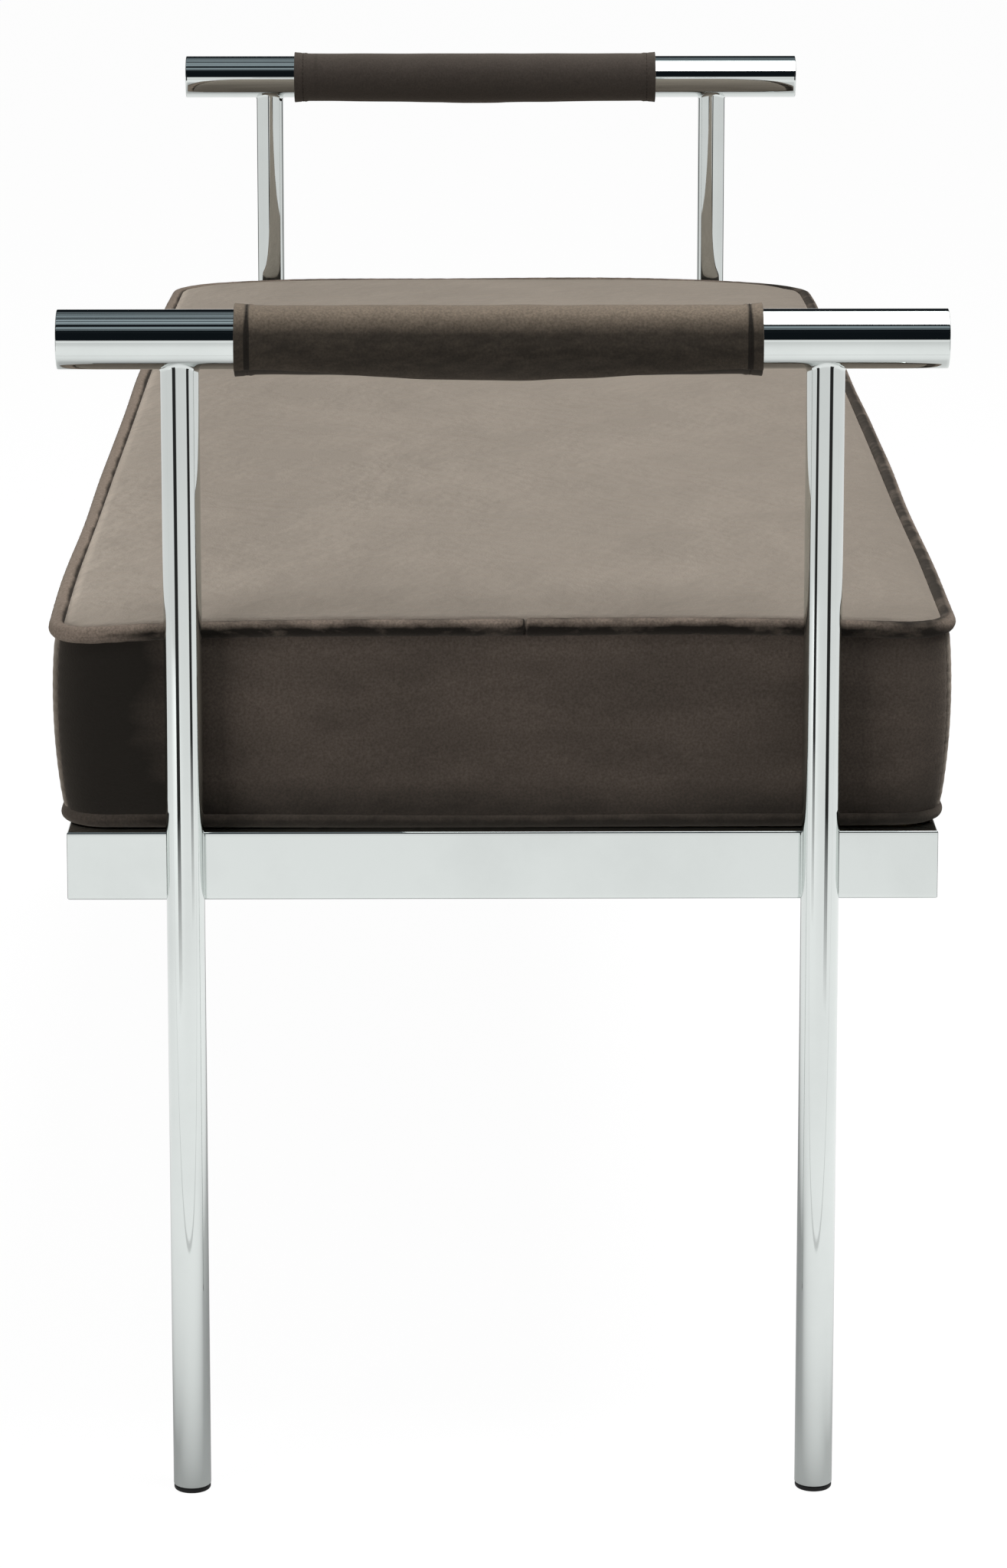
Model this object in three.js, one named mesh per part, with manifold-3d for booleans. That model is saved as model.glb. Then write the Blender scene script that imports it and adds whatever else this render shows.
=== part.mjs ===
// A long upholstered luggage bench: two chromed end frames whose top bars wear velvet sleeves,
// a mitred tube seat frame bolted between them, and a piped box cushion screwed on top.
// Millimetres, +Z up, X along the bench, origin on the floor under the middle of the seat.
// End A is at +X. Left and right are as seen from outside end A, so left is -Y.
import * as THREE from "three";
import { mergeVertices } from "three/addons/utils/BufferGeometryUtils.js";
import Module from "manifold-3d";

const wasm = await Module();
wasm.setup();

// End frames: a round bar carried on two round posts
const barSpacing = 1365; // bar axis to bar axis along the bench
const barHeight = 680; // bar axis above the floor
const barLength = 500;
const barDiameter = 34;
const barWall = 1.5;
const barPlugDepth = 4;
const postSpacing = 363; // post axis to post axis across the bench
const postDiameter = 22;
const postWall = 1.5;

// Glides pressed into the feet of the posts
const glideFlange = 3; // thickness between the post and the floor
const glideInset = 0.3; // by how much the flange is smaller than the post
const glideEdge = 1.4; // radius of the lower edge
const glidePlugDepth = 16;

// Velvet sleeves wrapped round the bars over a thin lining
const sleeveEndGap = 22.5; // side of the post to the end of a centred sleeve
const sleeveShift = { a: -2.5, b: -13 }; // how far each sleeve has slid along its bar
const sleeveLining = 0.8;
const sleeveFabric = 0.8;
const sleeveOverlap = THREE.MathUtils.degToRad(34); // where the two edges lie over each other
const sleeveEdge = THREE.MathUtils.degToRad(-44); // direction of the hidden inner edge from the bar's axis

// Seat frame of rectangular tube, mitred at the corners
const frameWidth = 500;
const frameTop = 392; // top of the rails above the floor
const railHeight = 40;
const railThickness = 20;
const railWall = 1.5;
const railCorner = 2;

// Cross braces between the side rails
const braceCount = 3;
const braceHeight = 20;
const braceWidth = 30;
const braceWall = 1.5;

// Bolts that pull the posts against the end rails, and the threaded inserts they enter
const boltDiameter = 6;
const boltPitch = 20; // between the two bolts of a post
const boltHeadDiameter = 12;
const boltHeadHeight = 4;
const boltSocket = 4; // across the flats of the hexagon
const boltSocketDepth = 2.4;
const insertDiameter = 9;
const insertLength = 12;

// Screws that hold the seat board down to the braces
const screwDiameter = 5;
const screwBite = 9; // depth in the board
const screwHeadDiameter = 10;
const screwHeadHeight = 3;
const screwSlotWidth = 1.2;
const screwSlotLength = 6;
const screwSlotDepth = 1.6;
const screwSpacing = 300; // between the two screws of a brace

// Cushion: board, foam, velvet cover and piping
const boardThickness = 12;
const boardMargin = 4; // from the bottom piping in to the board's edge
const dustCoverThickness = 0.8;
const cushionInset = 2; // rail's outer face to the top piping, at the ends
const cushionOverhang = 11; // top piping beyond the side rails
const cushionHeight = 123; // rail top to the top of the top piping
const cushionCorner = 34; // plan radius at the top piping
const innerCorner = 2; // least plan radius of an outline drawn in from the seam
const cornerDroop = 5; // how far the corners of the top hang below the middle of its edges
const crownRise = 9; // middle of the top above its seam
const crownReach = 38; // how quickly the top rises from the seam
const crownSteps = [6, 14, 30, 55, 95, 150]; // distances in from the seam where the crown is drawn
const coverThickness = 1.5;
const pipingDiameter = 9;
const pipingJoint = 13; // where the top piping's ends meet on end A, right of the middle
const bottomPipingDiameter = 8;
const bottomPipingInset = 5.2; // outer edge of the bottom piping inside that of the top piping
const sideTuck = 2.8; // foot of the side bands inside the line of the top piping
const sideLip = 1; // head of the side bands outside that line
const sideBulge = 3.5; // belly of the side bands at half height

// Clearance between pieces that touch on the real bench
const fitGap = 0.3;

// Facets
const tubeSides = 30;
const smallSides = 10;
const cornerSteps = 4;
const seamStep = 3; // step of a corner, counted from the end, where the end and side bands are sewn together
const endSteps = 8;
const sideSteps = 8;

const barRadius = barDiameter / 2;
const postRadius = postDiameter / 2;
const pipingRadius = pipingDiameter / 2;
const bottomPipingRadius = bottomPipingDiameter / 2;
const railFace = postRadius + fitGap; // post axis to the outer face of the end rail
const frameLength = barSpacing - 2 * railFace;
const railMiddle = frameTop - railHeight / 2;

const chrome = new THREE.MeshStandardMaterial({ color: 0xdfe3e4, roughness: 0.06, metalness: 1 });
const zincPlate = new THREE.MeshStandardMaterial({ color: 0xb4b6b6, roughness: 0.35, metalness: 1 });
const blackPlastic = new THREE.MeshStandardMaterial({ color: 0x1b1b1c, roughness: 0.55, metalness: 0 });
const velvet = new THREE.MeshStandardMaterial({ color: 0x4d443d, roughness: 0.9, metalness: 0 });
const lining = new THREE.MeshStandardMaterial({ color: 0x8c8780, roughness: 0.95, metalness: 0 });
const foam = new THREE.MeshStandardMaterial({ color: 0xe6dfc4, roughness: 0.95, metalness: 0 });
const plywood = new THREE.MeshStandardMaterial({ color: 0xc29a66, roughness: 0.7, metalness: 0 });
const dustCloth = new THREE.MeshStandardMaterial({ color: 0x161616, roughness: 0.95, metalness: 0 });

function solidOf(geometry) {
  const bare = geometry.index ? geometry.toNonIndexed() : geometry.clone();
  bare.deleteAttribute("normal");
  bare.deleteAttribute("uv");
  const merged = mergeVertices(bare, 1e-4);
  const triVerts = new Uint32Array(merged.index.array);
  const vertProperties = merged.attributes.position.array;
  return new wasm.Manifold(new wasm.Mesh({ numProp: 3, vertProperties, triVerts }));
}

function geometryOf(solid) {
  const { vertProperties, triVerts } = solid.getMesh();
  const geometry = new THREE.BufferGeometry();
  geometry.setAttribute("position", new THREE.BufferAttribute(vertProperties, 3));
  geometry.setIndex(new THREE.BufferAttribute(triVerts, 1));
  geometry.computeVertexNormals();
  return geometry;
}

function cut(geometry, ...tools) {
  return geometryOf(tools.reduce((left, tool) => left.subtract(solidOf(tool)), solidOf(geometry)));
}

function keepInside(geometry, tool) {
  return geometryOf(solidOf(geometry).intersect(solidOf(tool)));
}

function mesh(name, geometry, material, x = 0, y = 0, z = 0) {
  const made = new THREE.Mesh(geometry, material);
  made.name = name;
  made.position.set(x, y, z);
  return made;
}

function extrude(shape, depth, curveSegments = tubeSides / 2) {
  return new THREE.ExtrudeGeometry(shape, { depth, curveSegments, bevelEnabled: false });
}

// A round rod standing on the origin along +Z.
function rod(radius, length, sides = tubeSides) {
  const cylinder = new THREE.CylinderGeometry(radius, radius, length, sides);
  return cylinder.rotateX(Math.PI / 2).translate(0, 0, length / 2);
}

// A round tube standing on the origin along +Z.
function tube(radius, wall, length, sides = tubeSides) {
  const shape = new THREE.Shape().absarc(0, 0, radius, 0, 2 * Math.PI);
  shape.holes.push(new THREE.Path().absarc(0, 0, radius - wall, 0, 2 * Math.PI));
  return extrude(shape, length, sides / 2);
}

// Turns a shape that stands along +Z to lie along +X or +Y.
const alongX = (geometry) => geometry.rotateY(Math.PI / 2);
const alongY = (geometry) => geometry.rotateX(-Math.PI / 2);

function roundedRectangle(PathClass, width, height, radius) {
  const x = width / 2 - radius;
  const y = height / 2 - radius;
  return new PathClass()
    .absarc(x, y, radius, 0, Math.PI / 2)
    .absarc(-x, y, radius, Math.PI / 2, Math.PI)
    .absarc(-x, -y, radius, Math.PI, 1.5 * Math.PI)
    .absarc(x, -y, radius, 1.5 * Math.PI, 2 * Math.PI);
}

// A rectangular tube lying along +Y, centred on the origin; width is along X and height along Z.
function boxTube(width, height, wall, corner, length) {
  const shape = roundedRectangle(THREE.Shape, width, height, corner);
  const innerCorner = Math.max(corner - wall, wall / 3);
  shape.holes.push(roundedRectangle(THREE.Path, width - 2 * wall, height - 2 * wall, innerCorner));
  return extrude(shape, length, 3).translate(0, 0, -length / 2).rotateX(-Math.PI / 2);
}

// A closed skin over a stack of rings with equal, even point counts. Each end is closed by strips
// that join point i to point count - 1 - i.
function loft(rings) {
  const count = rings[0].length;
  const index = [];
  for (let ring = 0; ring + 1 < rings.length; ring++) {
    for (let i = 0; i < count; i++) {
      const here = ring * count + i;
      const next = ring * count + ((i + 1) % count);
      index.push(here, next, next + count, here, next + count, here + count);
    }
  }
  const last = (rings.length - 1) * count;
  for (let i = 0; i + 1 < count / 2; i++) {
    const across = count - 1 - i;
    index.push(i, across, i + 1, i + 1, across, across - 1);
    index.push(last + i, last + i + 1, last + across, last + i + 1, last + across - 1, last + across);
  }
  const coordinates = rings.flat().flatMap((point) => [point.x, point.y, point.z]);
  const geometry = new THREE.BufferGeometry();
  geometry.setAttribute("position", new THREE.Float32BufferAttribute(coordinates, 3));
  geometry.setIndex(index);
  geometry.computeVertexNormals();
  return geometry;
}

// Post: a tube with a saddle cut to the bar at its head and two holes for the inserts on its inner side.
function post(boltLevels) {
  const foot = glideFlange + fitGap;
  const body = tube(postRadius, postWall, barHeight - foot).translate(0, 0, foot);
  const bar = alongY(rod(barRadius + fitGap, 2 * postDiameter)).translate(0, -postDiameter, barHeight);
  const holes = boltLevels.map((z) =>
    alongX(rod(insertDiameter / 2 + fitGap, postDiameter, smallSides)).translate(-postDiameter, 0, z),
  );
  return cut(body, bar, ...holes);
}

// Glide: a flange under the post with a rounded lower edge, and a plug up inside it.
function glide() {
  const flange = postRadius - glideInset;
  const plug = postRadius - postWall - fitGap;
  const top = glideFlange + glidePlugDepth;
  const profile = [new THREE.Vector2(0, 0)];
  for (const turn of [-90, -60, -30, 0].map(THREE.MathUtils.degToRad)) {
    const r = flange - glideEdge + glideEdge * Math.cos(turn);
    profile.push(new THREE.Vector2(r, glideEdge + glideEdge * Math.sin(turn)));
  }
  profile.push(new THREE.Vector2(flange, glideFlange), new THREE.Vector2(plug, glideFlange));
  profile.push(new THREE.Vector2(plug, top), new THREE.Vector2(0, top));
  return new THREE.LatheGeometry(profile, tubeSides * 0.6).rotateX(Math.PI / 2);
}

// Sleeve: a strip wound under, behind, over and in front of the bar, so that its outer edge ends under the
// bar and lies over its inner edge. Each turn gains one fabric thickness and a gap.
function sleeve(length) {
  const start = barRadius + 2 * fitGap + sleeveLining;
  const gain = (sleeveFabric + fitGap) / (2 * Math.PI);
  const wrap = 2 * Math.PI + sleeveOverlap;
  const steps = Math.round((tubeSides * wrap) / (2 * Math.PI));
  const edgeLine = (offset) =>
    Array.from({ length: steps + 1 }, (_, i) => {
      const turn = (wrap * i) / steps;
      const radius = start + gain * turn + offset;
      return new THREE.Vector2(radius * Math.cos(sleeveEdge - turn), radius * Math.sin(sleeveEdge - turn));
    });
  const shape = new THREE.Shape([...edgeLine(sleeveFabric), ...edgeLine(0).reverse()]);
  return alongBar(extrude(shape, length), length);
}

// Lays an extruded section along Y with its own +Y direction up and its middle at the origin.
function alongBar(geometry, length) {
  return geometry.translate(0, 0, -length / 2).rotateX(Math.PI / 2);
}

// Bolt along +X with the underside of its domed head at the origin.
function bolt(length) {
  const head = boltHeadDiameter / 2;
  const shank = boltDiameter / 2;
  const profile = [
    [0, -boltHeadHeight],
    [head * 0.55, -boltHeadHeight],
    [head * 0.88, -boltHeadHeight * 0.6],
    [head, 0],
    [shank, 0],
    [shank, length],
    [0, length],
  ].map(([r, along]) => new THREE.Vector2(r, along));
  const body = new THREE.LatheGeometry(profile, smallSides).rotateX(Math.PI / 2);
  const key = rod(boltSocket / Math.sqrt(3), 2 * boltSocketDepth, 6);
  key.translate(0, 0, -boltHeadHeight - boltSocketDepth);
  return alongX(cut(body, key));
}

// Screw along +Z with the underside of its head at the origin and a cross slot below.
function screw(length) {
  const head = screwHeadDiameter / 2;
  const shank = screwDiameter / 2;
  const profile = [
    [0, -screwHeadHeight],
    [head * 0.6, -screwHeadHeight],
    [head, -screwHeadHeight * 0.35],
    [head, 0],
    [shank, 0],
    [shank, length - screwDiameter],
    [0, length],
  ].map(([r, along]) => new THREE.Vector2(r, along));
  const body = new THREE.LatheGeometry(profile, smallSides).rotateX(Math.PI / 2);
  const slots = [
    new THREE.BoxGeometry(screwSlotLength, screwSlotWidth, 2 * screwSlotDepth),
    new THREE.BoxGeometry(screwSlotWidth, screwSlotLength, 2 * screwSlotDepth),
  ];
  return cut(body, ...slots.map((slot) => slot.translate(0, 0, -screwHeadHeight)));
}

// One end frame with its rail, about an origin on the floor under the bar's middle, +X pointing outwards.
function endFrame(end) {
  const group = new THREE.Group();
  const outward = end === "a" ? 1 : -1;
  const sideName = (side) => (side * outward < 0 ? "left" : "right");
  const boltLevels = [railMiddle + boltPitch / 2, railMiddle - boltPitch / 2];
  const railInner = railFace + railThickness;

  const bar = alongBar(tube(barRadius, barWall, barLength), barLength);
  group.add(mesh(`top_bar_${end}`, bar, chrome, 0, 0, barHeight));
  const sleeveLength = postSpacing - postDiameter - 2 * sleeveEndGap;
  const slid = sleeveShift[end] * outward;
  const liner = tube(barRadius + fitGap + sleeveLining, sleeveLining, sleeveLength);
  group.add(mesh(`sleeve_lining_${end}`, alongBar(liner, sleeveLength), lining, 0, slid, barHeight));
  group.add(mesh(`sleeve_cover_${end}`, sleeve(sleeveLength), velvet, 0, slid, barHeight));

  for (const side of [-1, 1]) {
    const y = (side * postSpacing) / 2;
    const plug = alongBar(rod(barRadius - barWall - fitGap, barPlugDepth), barPlugDepth);
    const plugAt = side * (barLength - barPlugDepth) / 2;
    group.add(mesh(`bar_end_plug_${end}_${sideName(side)}`, plug, chrome, 0, plugAt, barHeight));
    group.add(mesh(`post_${end}_${sideName(side)}`, post(boltLevels), chrome, 0, y));
    group.add(mesh(`foot_glide_${end}_${sideName(side)}`, glide(), blackPlastic, 0, y));
    boltLevels.forEach((z, row) => {
      const tail = `${end}_${sideName(side)}_${row === 0 ? "upper" : "lower"}`;
      const insertWall = (insertDiameter - boltDiameter) / 2 - fitGap;
      const insert = alongX(tube(insertDiameter / 2, insertWall, insertLength, smallSides));
      group.add(mesh(`post_insert_${tail}`, insert, zincPlate, -postRadius + fitGap, y, z));
      const shank = railThickness + insertLength;
      group.add(mesh(`post_bolt_${tail}`, bolt(shank), zincPlate, -railInner - fitGap, y, z));
    });
  }

  const rail = boxTube(railThickness, railHeight, railWall, railCorner, frameWidth);
  rail.translate(-railFace - railThickness / 2, 0, railMiddle);
  const holes = [-1, 1].flatMap((side) =>
    boltLevels.map((z) =>
      alongX(rod(boltDiameter / 2 + fitGap, 3 * railThickness, smallSides)).translate(
        -railFace - 2 * railThickness,
        (side * postSpacing) / 2,
        z,
      ),
    ),
  );
  const mitred = keepInside(rail, mitrePrism(frameWidth, -railFace, -railInner, false));
  group.add(mesh(`end_rail_${end}`, cut(mitred, ...holes), chrome));

  group.position.x = (outward * barSpacing) / 2;
  if (end === "b") group.rotation.z = Math.PI;
  return group;
}

// The room a mitred rail may fill: as long as length on its outer face and shorter by its thickness at
// each end of its inner face, less a sliver for the weld.
function mitrePrism(length, outer, inner, turned) {
  const half = length / 2 - fitGap * Math.SQRT1_2;
  const lost = Math.abs(outer - inner);
  const corners = [
    [outer, half],
    [inner, half - lost],
    [inner, lost - half],
    [outer, -half],
  ].map(([across, along]) => (turned ? new THREE.Vector2(along, across) : new THREE.Vector2(across, along)));
  return extrude(new THREE.Shape(corners), 2 * frameTop);
}

// The two side rails, the braces between them and the screws that come up through the braces.
function seatFrame() {
  const group = new THREE.Group();
  for (const side of [-1, 1]) {
    const outer = (side * frameWidth) / 2;
    const rail = boxTube(railThickness, railHeight, railWall, railCorner, frameLength).rotateZ(Math.PI / 2);
    rail.translate(0, outer - (side * railThickness) / 2, railMiddle);
    const room = mitrePrism(frameLength, outer, outer - side * railThickness, true);
    group.add(mesh(`side_rail_${side < 0 ? "left" : "right"}`, keepInside(rail, room), chrome));
  }
  const braceLength = frameWidth - 2 * (railThickness + fitGap);
  const braceMiddle = frameTop - braceHeight / 2;
  const screwLength = braceHeight + dustCoverThickness + 2 * fitGap + screwBite;
  braceStations().forEach((x, station) => {
    const tubeBrace = boxTube(braceWidth, braceHeight, braceWall, railCorner, braceLength);
    const holes = screwRows().map((y) => {
      const hole = rod(screwDiameter / 2 + fitGap, 2 * braceHeight, smallSides);
      return hole.translate(0, y, -braceHeight);
    });
    group.add(mesh(`cross_brace_${station + 1}`, cut(tubeBrace, ...holes), chrome, x, 0, braceMiddle));
    screwRows().forEach((y) => {
      const name = `board_screw_${station + 1}_${y < 0 ? "left" : "right"}`;
      group.add(mesh(name, screw(screwLength), zincPlate, x, y, frameTop - braceHeight - fitGap));
    });
  });
  return group;
}

function braceStations() {
  const pitch = frameLength / (braceCount + 1);
  return Array.from({ length: braceCount }, (_, i) => (i + 1) * pitch - frameLength / 2);
}

function screwRows() {
  return [-screwSpacing / 2, screwSpacing / 2];
}

// Cushion levels and the line that its top piping follows
const boardBottom = frameTop + dustCoverThickness + 2 * fitGap;
const foamBottom = boardBottom + boardThickness + fitGap;
const pipingHalfX = frameLength / 2 - cushionInset - pipingRadius;
const pipingHalfY = frameWidth / 2 + cushionOverhang - pipingRadius;
const pipingLevel = frameTop + cushionHeight - pipingRadius;
const bandFoot = frameTop + 2 * fitGap + bottomPipingDiameter;
const seamInset = pipingRadius + fitGap;
const bottomPipingTuck = bottomPipingInset + bottomPipingRadius - pipingRadius;

// Points with outward directions round a rounded rectangle, anticlockwise from the piping's joint on end A.
function outline(inset) {
  const halfX = pipingHalfX - inset;
  const halfY = pipingHalfY - inset;
  const radius = Math.max(cushionCorner - pipingRadius - inset, innerCorner);
  const points = [];
  const run = (from, to, steps, turn) => {
    for (let i = 0; i < steps; i++) {
      const share = i / steps;
      points.push({
        x: THREE.MathUtils.lerp(from[0], to[0], share),
        y: THREE.MathUtils.lerp(from[1], to[1], share),
        out: new THREE.Vector2(Math.cos(turn), Math.sin(turn)),
      });
    }
  };
  const bend = (x, y, start) => {
    for (let i = 0; i < cornerSteps; i++) {
      const turn = start + (i / cornerSteps) * (Math.PI / 2);
      const out = new THREE.Vector2(Math.cos(turn), Math.sin(turn));
      points.push({ x: x + radius * out.x, y: y + radius * out.y, out });
    }
  };
  const x = halfX - radius;
  const y = halfY - radius;
  run([halfX, pipingJoint], [halfX, y], endSteps / 2, 0);
  bend(x, y, 0);
  run([x, halfY], [-x, halfY], sideSteps, Math.PI / 2);
  bend(-x, y, Math.PI / 2);
  run([-halfX, y], [-halfX, -y], endSteps, Math.PI);
  bend(-x, -y, Math.PI);
  run([-x, -halfY], [x, -halfY], sideSteps, -Math.PI / 2);
  bend(x, -y, -Math.PI / 2);
  run([halfX, -y], [halfX, pipingJoint], endSteps / 2, 0);
  return points;
}

// How far the top hangs down towards its corners.
function droop({ x, y }) {
  return cornerDroop * (x / pipingHalfX) ** 4 * (y / pipingHalfY) ** 4;
}

// Height of the cover's top surface at a distance in from the piping line.
function topLevel(point, inset) {
  const rise = 1 - Math.exp(-(inset - seamInset) / crownReach);
  return pipingLevel - droop(point) + crownRise * rise;
}

const bandHead = (point) => pipingLevel - droop(point) - seamInset;

// Outer face of the side bands, out from the piping line, at a share of their height.
function bandOffset(share) {
  return THREE.MathUtils.lerp(-sideTuck, sideLip, share) + sideBulge * 4 * share * (1 - share);
}

function shifted(point, offset, z) {
  return new THREE.Vector3(point.x + point.out.x * offset, point.y + point.out.y * offset, z);
}

// Foam: follows the inside of the bands, rounds over below the piping and crowns under the top panel.
function foamBlock() {
  const line = outline(0);
  const backing = coverThickness + fitGap;
  const sides = [0, 0.2, 0.4, 0.6, 0.8, 1].map((share) =>
    line.map((point) => {
      const z = THREE.MathUtils.lerp(foamBottom, bandHead(point) - fitGap, share);
      const bandShare = (z - bandFoot) / (bandHead(point) - bandFoot);
      return shifted(point, bandOffset(bandShare) - backing, z);
    }),
  );
  const crown = crownSteps.map((step) => {
    const inset = seamInset + step;
    const under = backing + fitGap;
    return outline(inset).map((point) => new THREE.Vector3(point.x, point.y, topLevel(point, inset) - under));
  });
  return loft([...sides, ...crown]);
}

// Top panel: a crowned sheet inside the piping, its underside first and then its face.
function topPanel() {
  const sheet = (lift) =>
    [0, ...crownSteps].map((step) => {
      const inset = seamInset + step;
      return outline(inset).map((at) => new THREE.Vector3(at.x, at.y, topLevel(at, inset) + lift));
    });
  return loft([...sheet(-coverThickness).reverse(), ...sheet(0)]);
}

// Side band: a strip of cover along part of the outline, bellied out at half height.
function sideBand(points) {
  const shares = [1, 0.8, 0.6, 0.4, 0.2, 0];
  return loft(
    points.map((point) => {
      const edge = (inner) =>
        shares.map((share) => {
          const z = THREE.MathUtils.lerp(bandFoot, bandHead(point), share);
          return shifted(point, bandOffset(share) - inner, z);
        });
      return [...edge(0), ...edge(coverThickness).reverse()];
    }),
  );
}

// The four side bands, sewn to each other at the middle of each corner.
function sideBands() {
  const line = outline(0);
  const bands = {};
  const runs = { end: endSteps + 2 * seamStep, side: sideSteps + 2 * (cornerSteps - seamStep) };
  let start = endSteps / 2 + seamStep;
  for (const name of ["side_band_right", "end_band_b", "side_band_left", "end_band_a"]) {
    const count = runs[name.split("_")[0]];
    const points = Array.from({ length: count + 1 }, (_, i) => line[(start + i) % line.length]);
    points[0] = alongOutline(points[0], 1);
    points[count] = alongOutline(points[count], -1);
    bands[name] = sideBand(points);
    start += count;
  }
  return bands;
}

// A point moved half a clearance forwards or back along the outline.
function alongOutline({ x, y, out }, way) {
  const step = (way * fitGap) / 2;
  return { x: x - out.y * step, y: y + out.x * step, out };
}

// Piping: a cord along the outline, moved out or in from the top piping's line, whose ends nearly meet.
function piping(radius, offset, level) {
  const line = outline(0);
  const end = { x: pipingHalfX, y: pipingJoint - fitGap, out: new THREE.Vector2(1, 0) };
  const sides = 8;
  const rings = [...line, end].map((point) =>
    Array.from({ length: sides }, (_, i) => {
      const turn = (i / sides) * 2 * Math.PI;
      return shifted(point, offset + radius * Math.sin(turn), level(point) + radius * Math.cos(turn));
    }),
  );
  return loft(rings);
}

function plate(inset, thickness, holes = []) {
  const shape = new THREE.Shape(outline(inset).map((point) => new THREE.Vector2(point.x, point.y)));
  shape.holes.push(...holes);
  return extrude(shape, thickness, smallSides / 2);
}

function cushion() {
  const group = new THREE.Group();
  const boardInset = bottomPipingTuck + bottomPipingRadius + boardMargin;
  const bottomPipingLevel = frameTop + fitGap + bottomPipingRadius;
  const screwHoles = braceStations().flatMap((x) =>
    screwRows().map((y) => new THREE.Path().absarc(x, y, screwDiameter / 2 + fitGap, 0, 2 * Math.PI)),
  );
  const dustCover = plate(boardInset, dustCoverThickness, screwHoles);
  group.add(mesh("dust_cover", dustCover, dustCloth, 0, 0, frameTop + fitGap));
  group.add(mesh("seat_board", plate(boardInset, boardThickness, screwHoles), plywood, 0, 0, boardBottom));
  group.add(mesh("seat_foam", foamBlock(), foam));
  group.add(mesh("top_panel", topPanel(), velvet));
  for (const [name, geometry] of Object.entries(sideBands())) group.add(mesh(name, geometry, velvet));
  group.add(mesh("top_piping", piping(pipingRadius, 0, (point) => pipingLevel - droop(point)), velvet));
  const bottomPiping = piping(bottomPipingRadius, -bottomPipingTuck, () => bottomPipingLevel);
  group.add(mesh("bottom_piping", bottomPiping, velvet));
  return group;
}

const bench = new THREE.Group();
bench.name = "luggage_bench";
bench.add(endFrame("a"), endFrame("b"), seatFrame(), cushion());

export default bench;
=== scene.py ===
"""A hotel luggage bench: chromed end frames and seat rails, velvet bar sleeves and a piped velvet cushion.

Metres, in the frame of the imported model: X along the bench with end A at +X, left at -Y as seen from
outside end A, +Z up. Each shape is a grid of points over two parameters, or a section carried along a path.
"""

import math

import bmesh
import bpy
import numpy as np
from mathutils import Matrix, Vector


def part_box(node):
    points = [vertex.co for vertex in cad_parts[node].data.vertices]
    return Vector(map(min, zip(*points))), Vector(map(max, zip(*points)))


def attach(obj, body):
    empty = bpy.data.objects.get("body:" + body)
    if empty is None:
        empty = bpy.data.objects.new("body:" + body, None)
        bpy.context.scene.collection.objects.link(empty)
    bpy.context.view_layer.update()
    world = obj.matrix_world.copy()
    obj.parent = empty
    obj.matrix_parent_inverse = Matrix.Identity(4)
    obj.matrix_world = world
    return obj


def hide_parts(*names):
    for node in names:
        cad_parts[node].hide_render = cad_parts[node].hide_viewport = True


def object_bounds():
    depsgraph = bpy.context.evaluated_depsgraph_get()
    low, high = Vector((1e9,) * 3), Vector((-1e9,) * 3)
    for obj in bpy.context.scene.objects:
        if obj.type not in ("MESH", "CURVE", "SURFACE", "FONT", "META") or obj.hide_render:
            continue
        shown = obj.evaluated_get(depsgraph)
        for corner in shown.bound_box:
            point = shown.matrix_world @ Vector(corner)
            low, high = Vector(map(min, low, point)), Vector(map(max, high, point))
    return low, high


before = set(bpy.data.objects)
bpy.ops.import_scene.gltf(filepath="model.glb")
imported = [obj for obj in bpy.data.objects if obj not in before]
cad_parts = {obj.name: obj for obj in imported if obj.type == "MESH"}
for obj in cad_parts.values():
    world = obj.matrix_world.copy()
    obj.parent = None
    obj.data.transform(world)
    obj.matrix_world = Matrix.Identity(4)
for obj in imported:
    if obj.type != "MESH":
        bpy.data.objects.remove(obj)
cad_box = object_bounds()

MM = 0.001
BODY = "root"
ENDS = {"a": 1, "b": -1}
SIDES = {"left": -1, "right": 1}
LEVELS = ("upper", "lower")
CROSS_BRACES = (1, 2, 3)

# Metalwork
SHARP_ANGLE = math.radians(35)
ROUND_SIDES = 72
BAR_SIDES = 96
BAR_WALL = 1.5 * MM
RIM_ROUND = 0.5 * MM
EDGE_LOOP = 1.5 * MM
WELD_FILLET = 1.8 * MM
RAIL_CORNER = 1.2 * MM
BRACE_CORNER = 1.5 * MM

# Cushion cover
COVER_THICKNESS = 1.5 * MM
CORNER_DROOP = {(1, -1): 6.6 * MM, (1, 1): 2.4 * MM, (-1, -1): 6.0 * MM, (-1, 1): 8.0 * MM}
CROWN_RISE = 6.0 * MM
CROWN_REACH = 38 * MM
EDGE_PLUMP = 5.0 * MM
EDGE_REACH = 2.6 * MM
SEAM_SINK = 1.2 * MM
SEAM_CREASE = 1.4 * MM
CREASE_SHARE = 0.8
CREASE_WIDTH = 1.7 * MM
CORNER_BLOCK = 60 * MM
FOAM_CLEARANCE = 5.5 * MM
DUST_COVER_SAG = 2.4 * MM

# Side bands
BAND_ROWS = 57
BAND_HEAD = 1.5 * MM
BAND_FOOT = 1.0 * MM
SIDE_LIP = 1.0 * MM
SIDE_TUCK = 2.8 * MM
SIDE_BULGE = 3.5 * MM
HEAD_TUCK = 2.0 * MM
FOOT_TUCK = 1.9 * MM
TUCK_REACH = 2.5 * MM
SEAM_DIP = 1.7 * MM
SEAM_DIP_REACH = 1.8 * MM
SEAM_PITCH = 7.0 * MM
PITCH_DRIFT = 17 * MM
SEAM_PUCKER = 0.35 * MM
PUCKER_REACH = 6 * MM

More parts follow.
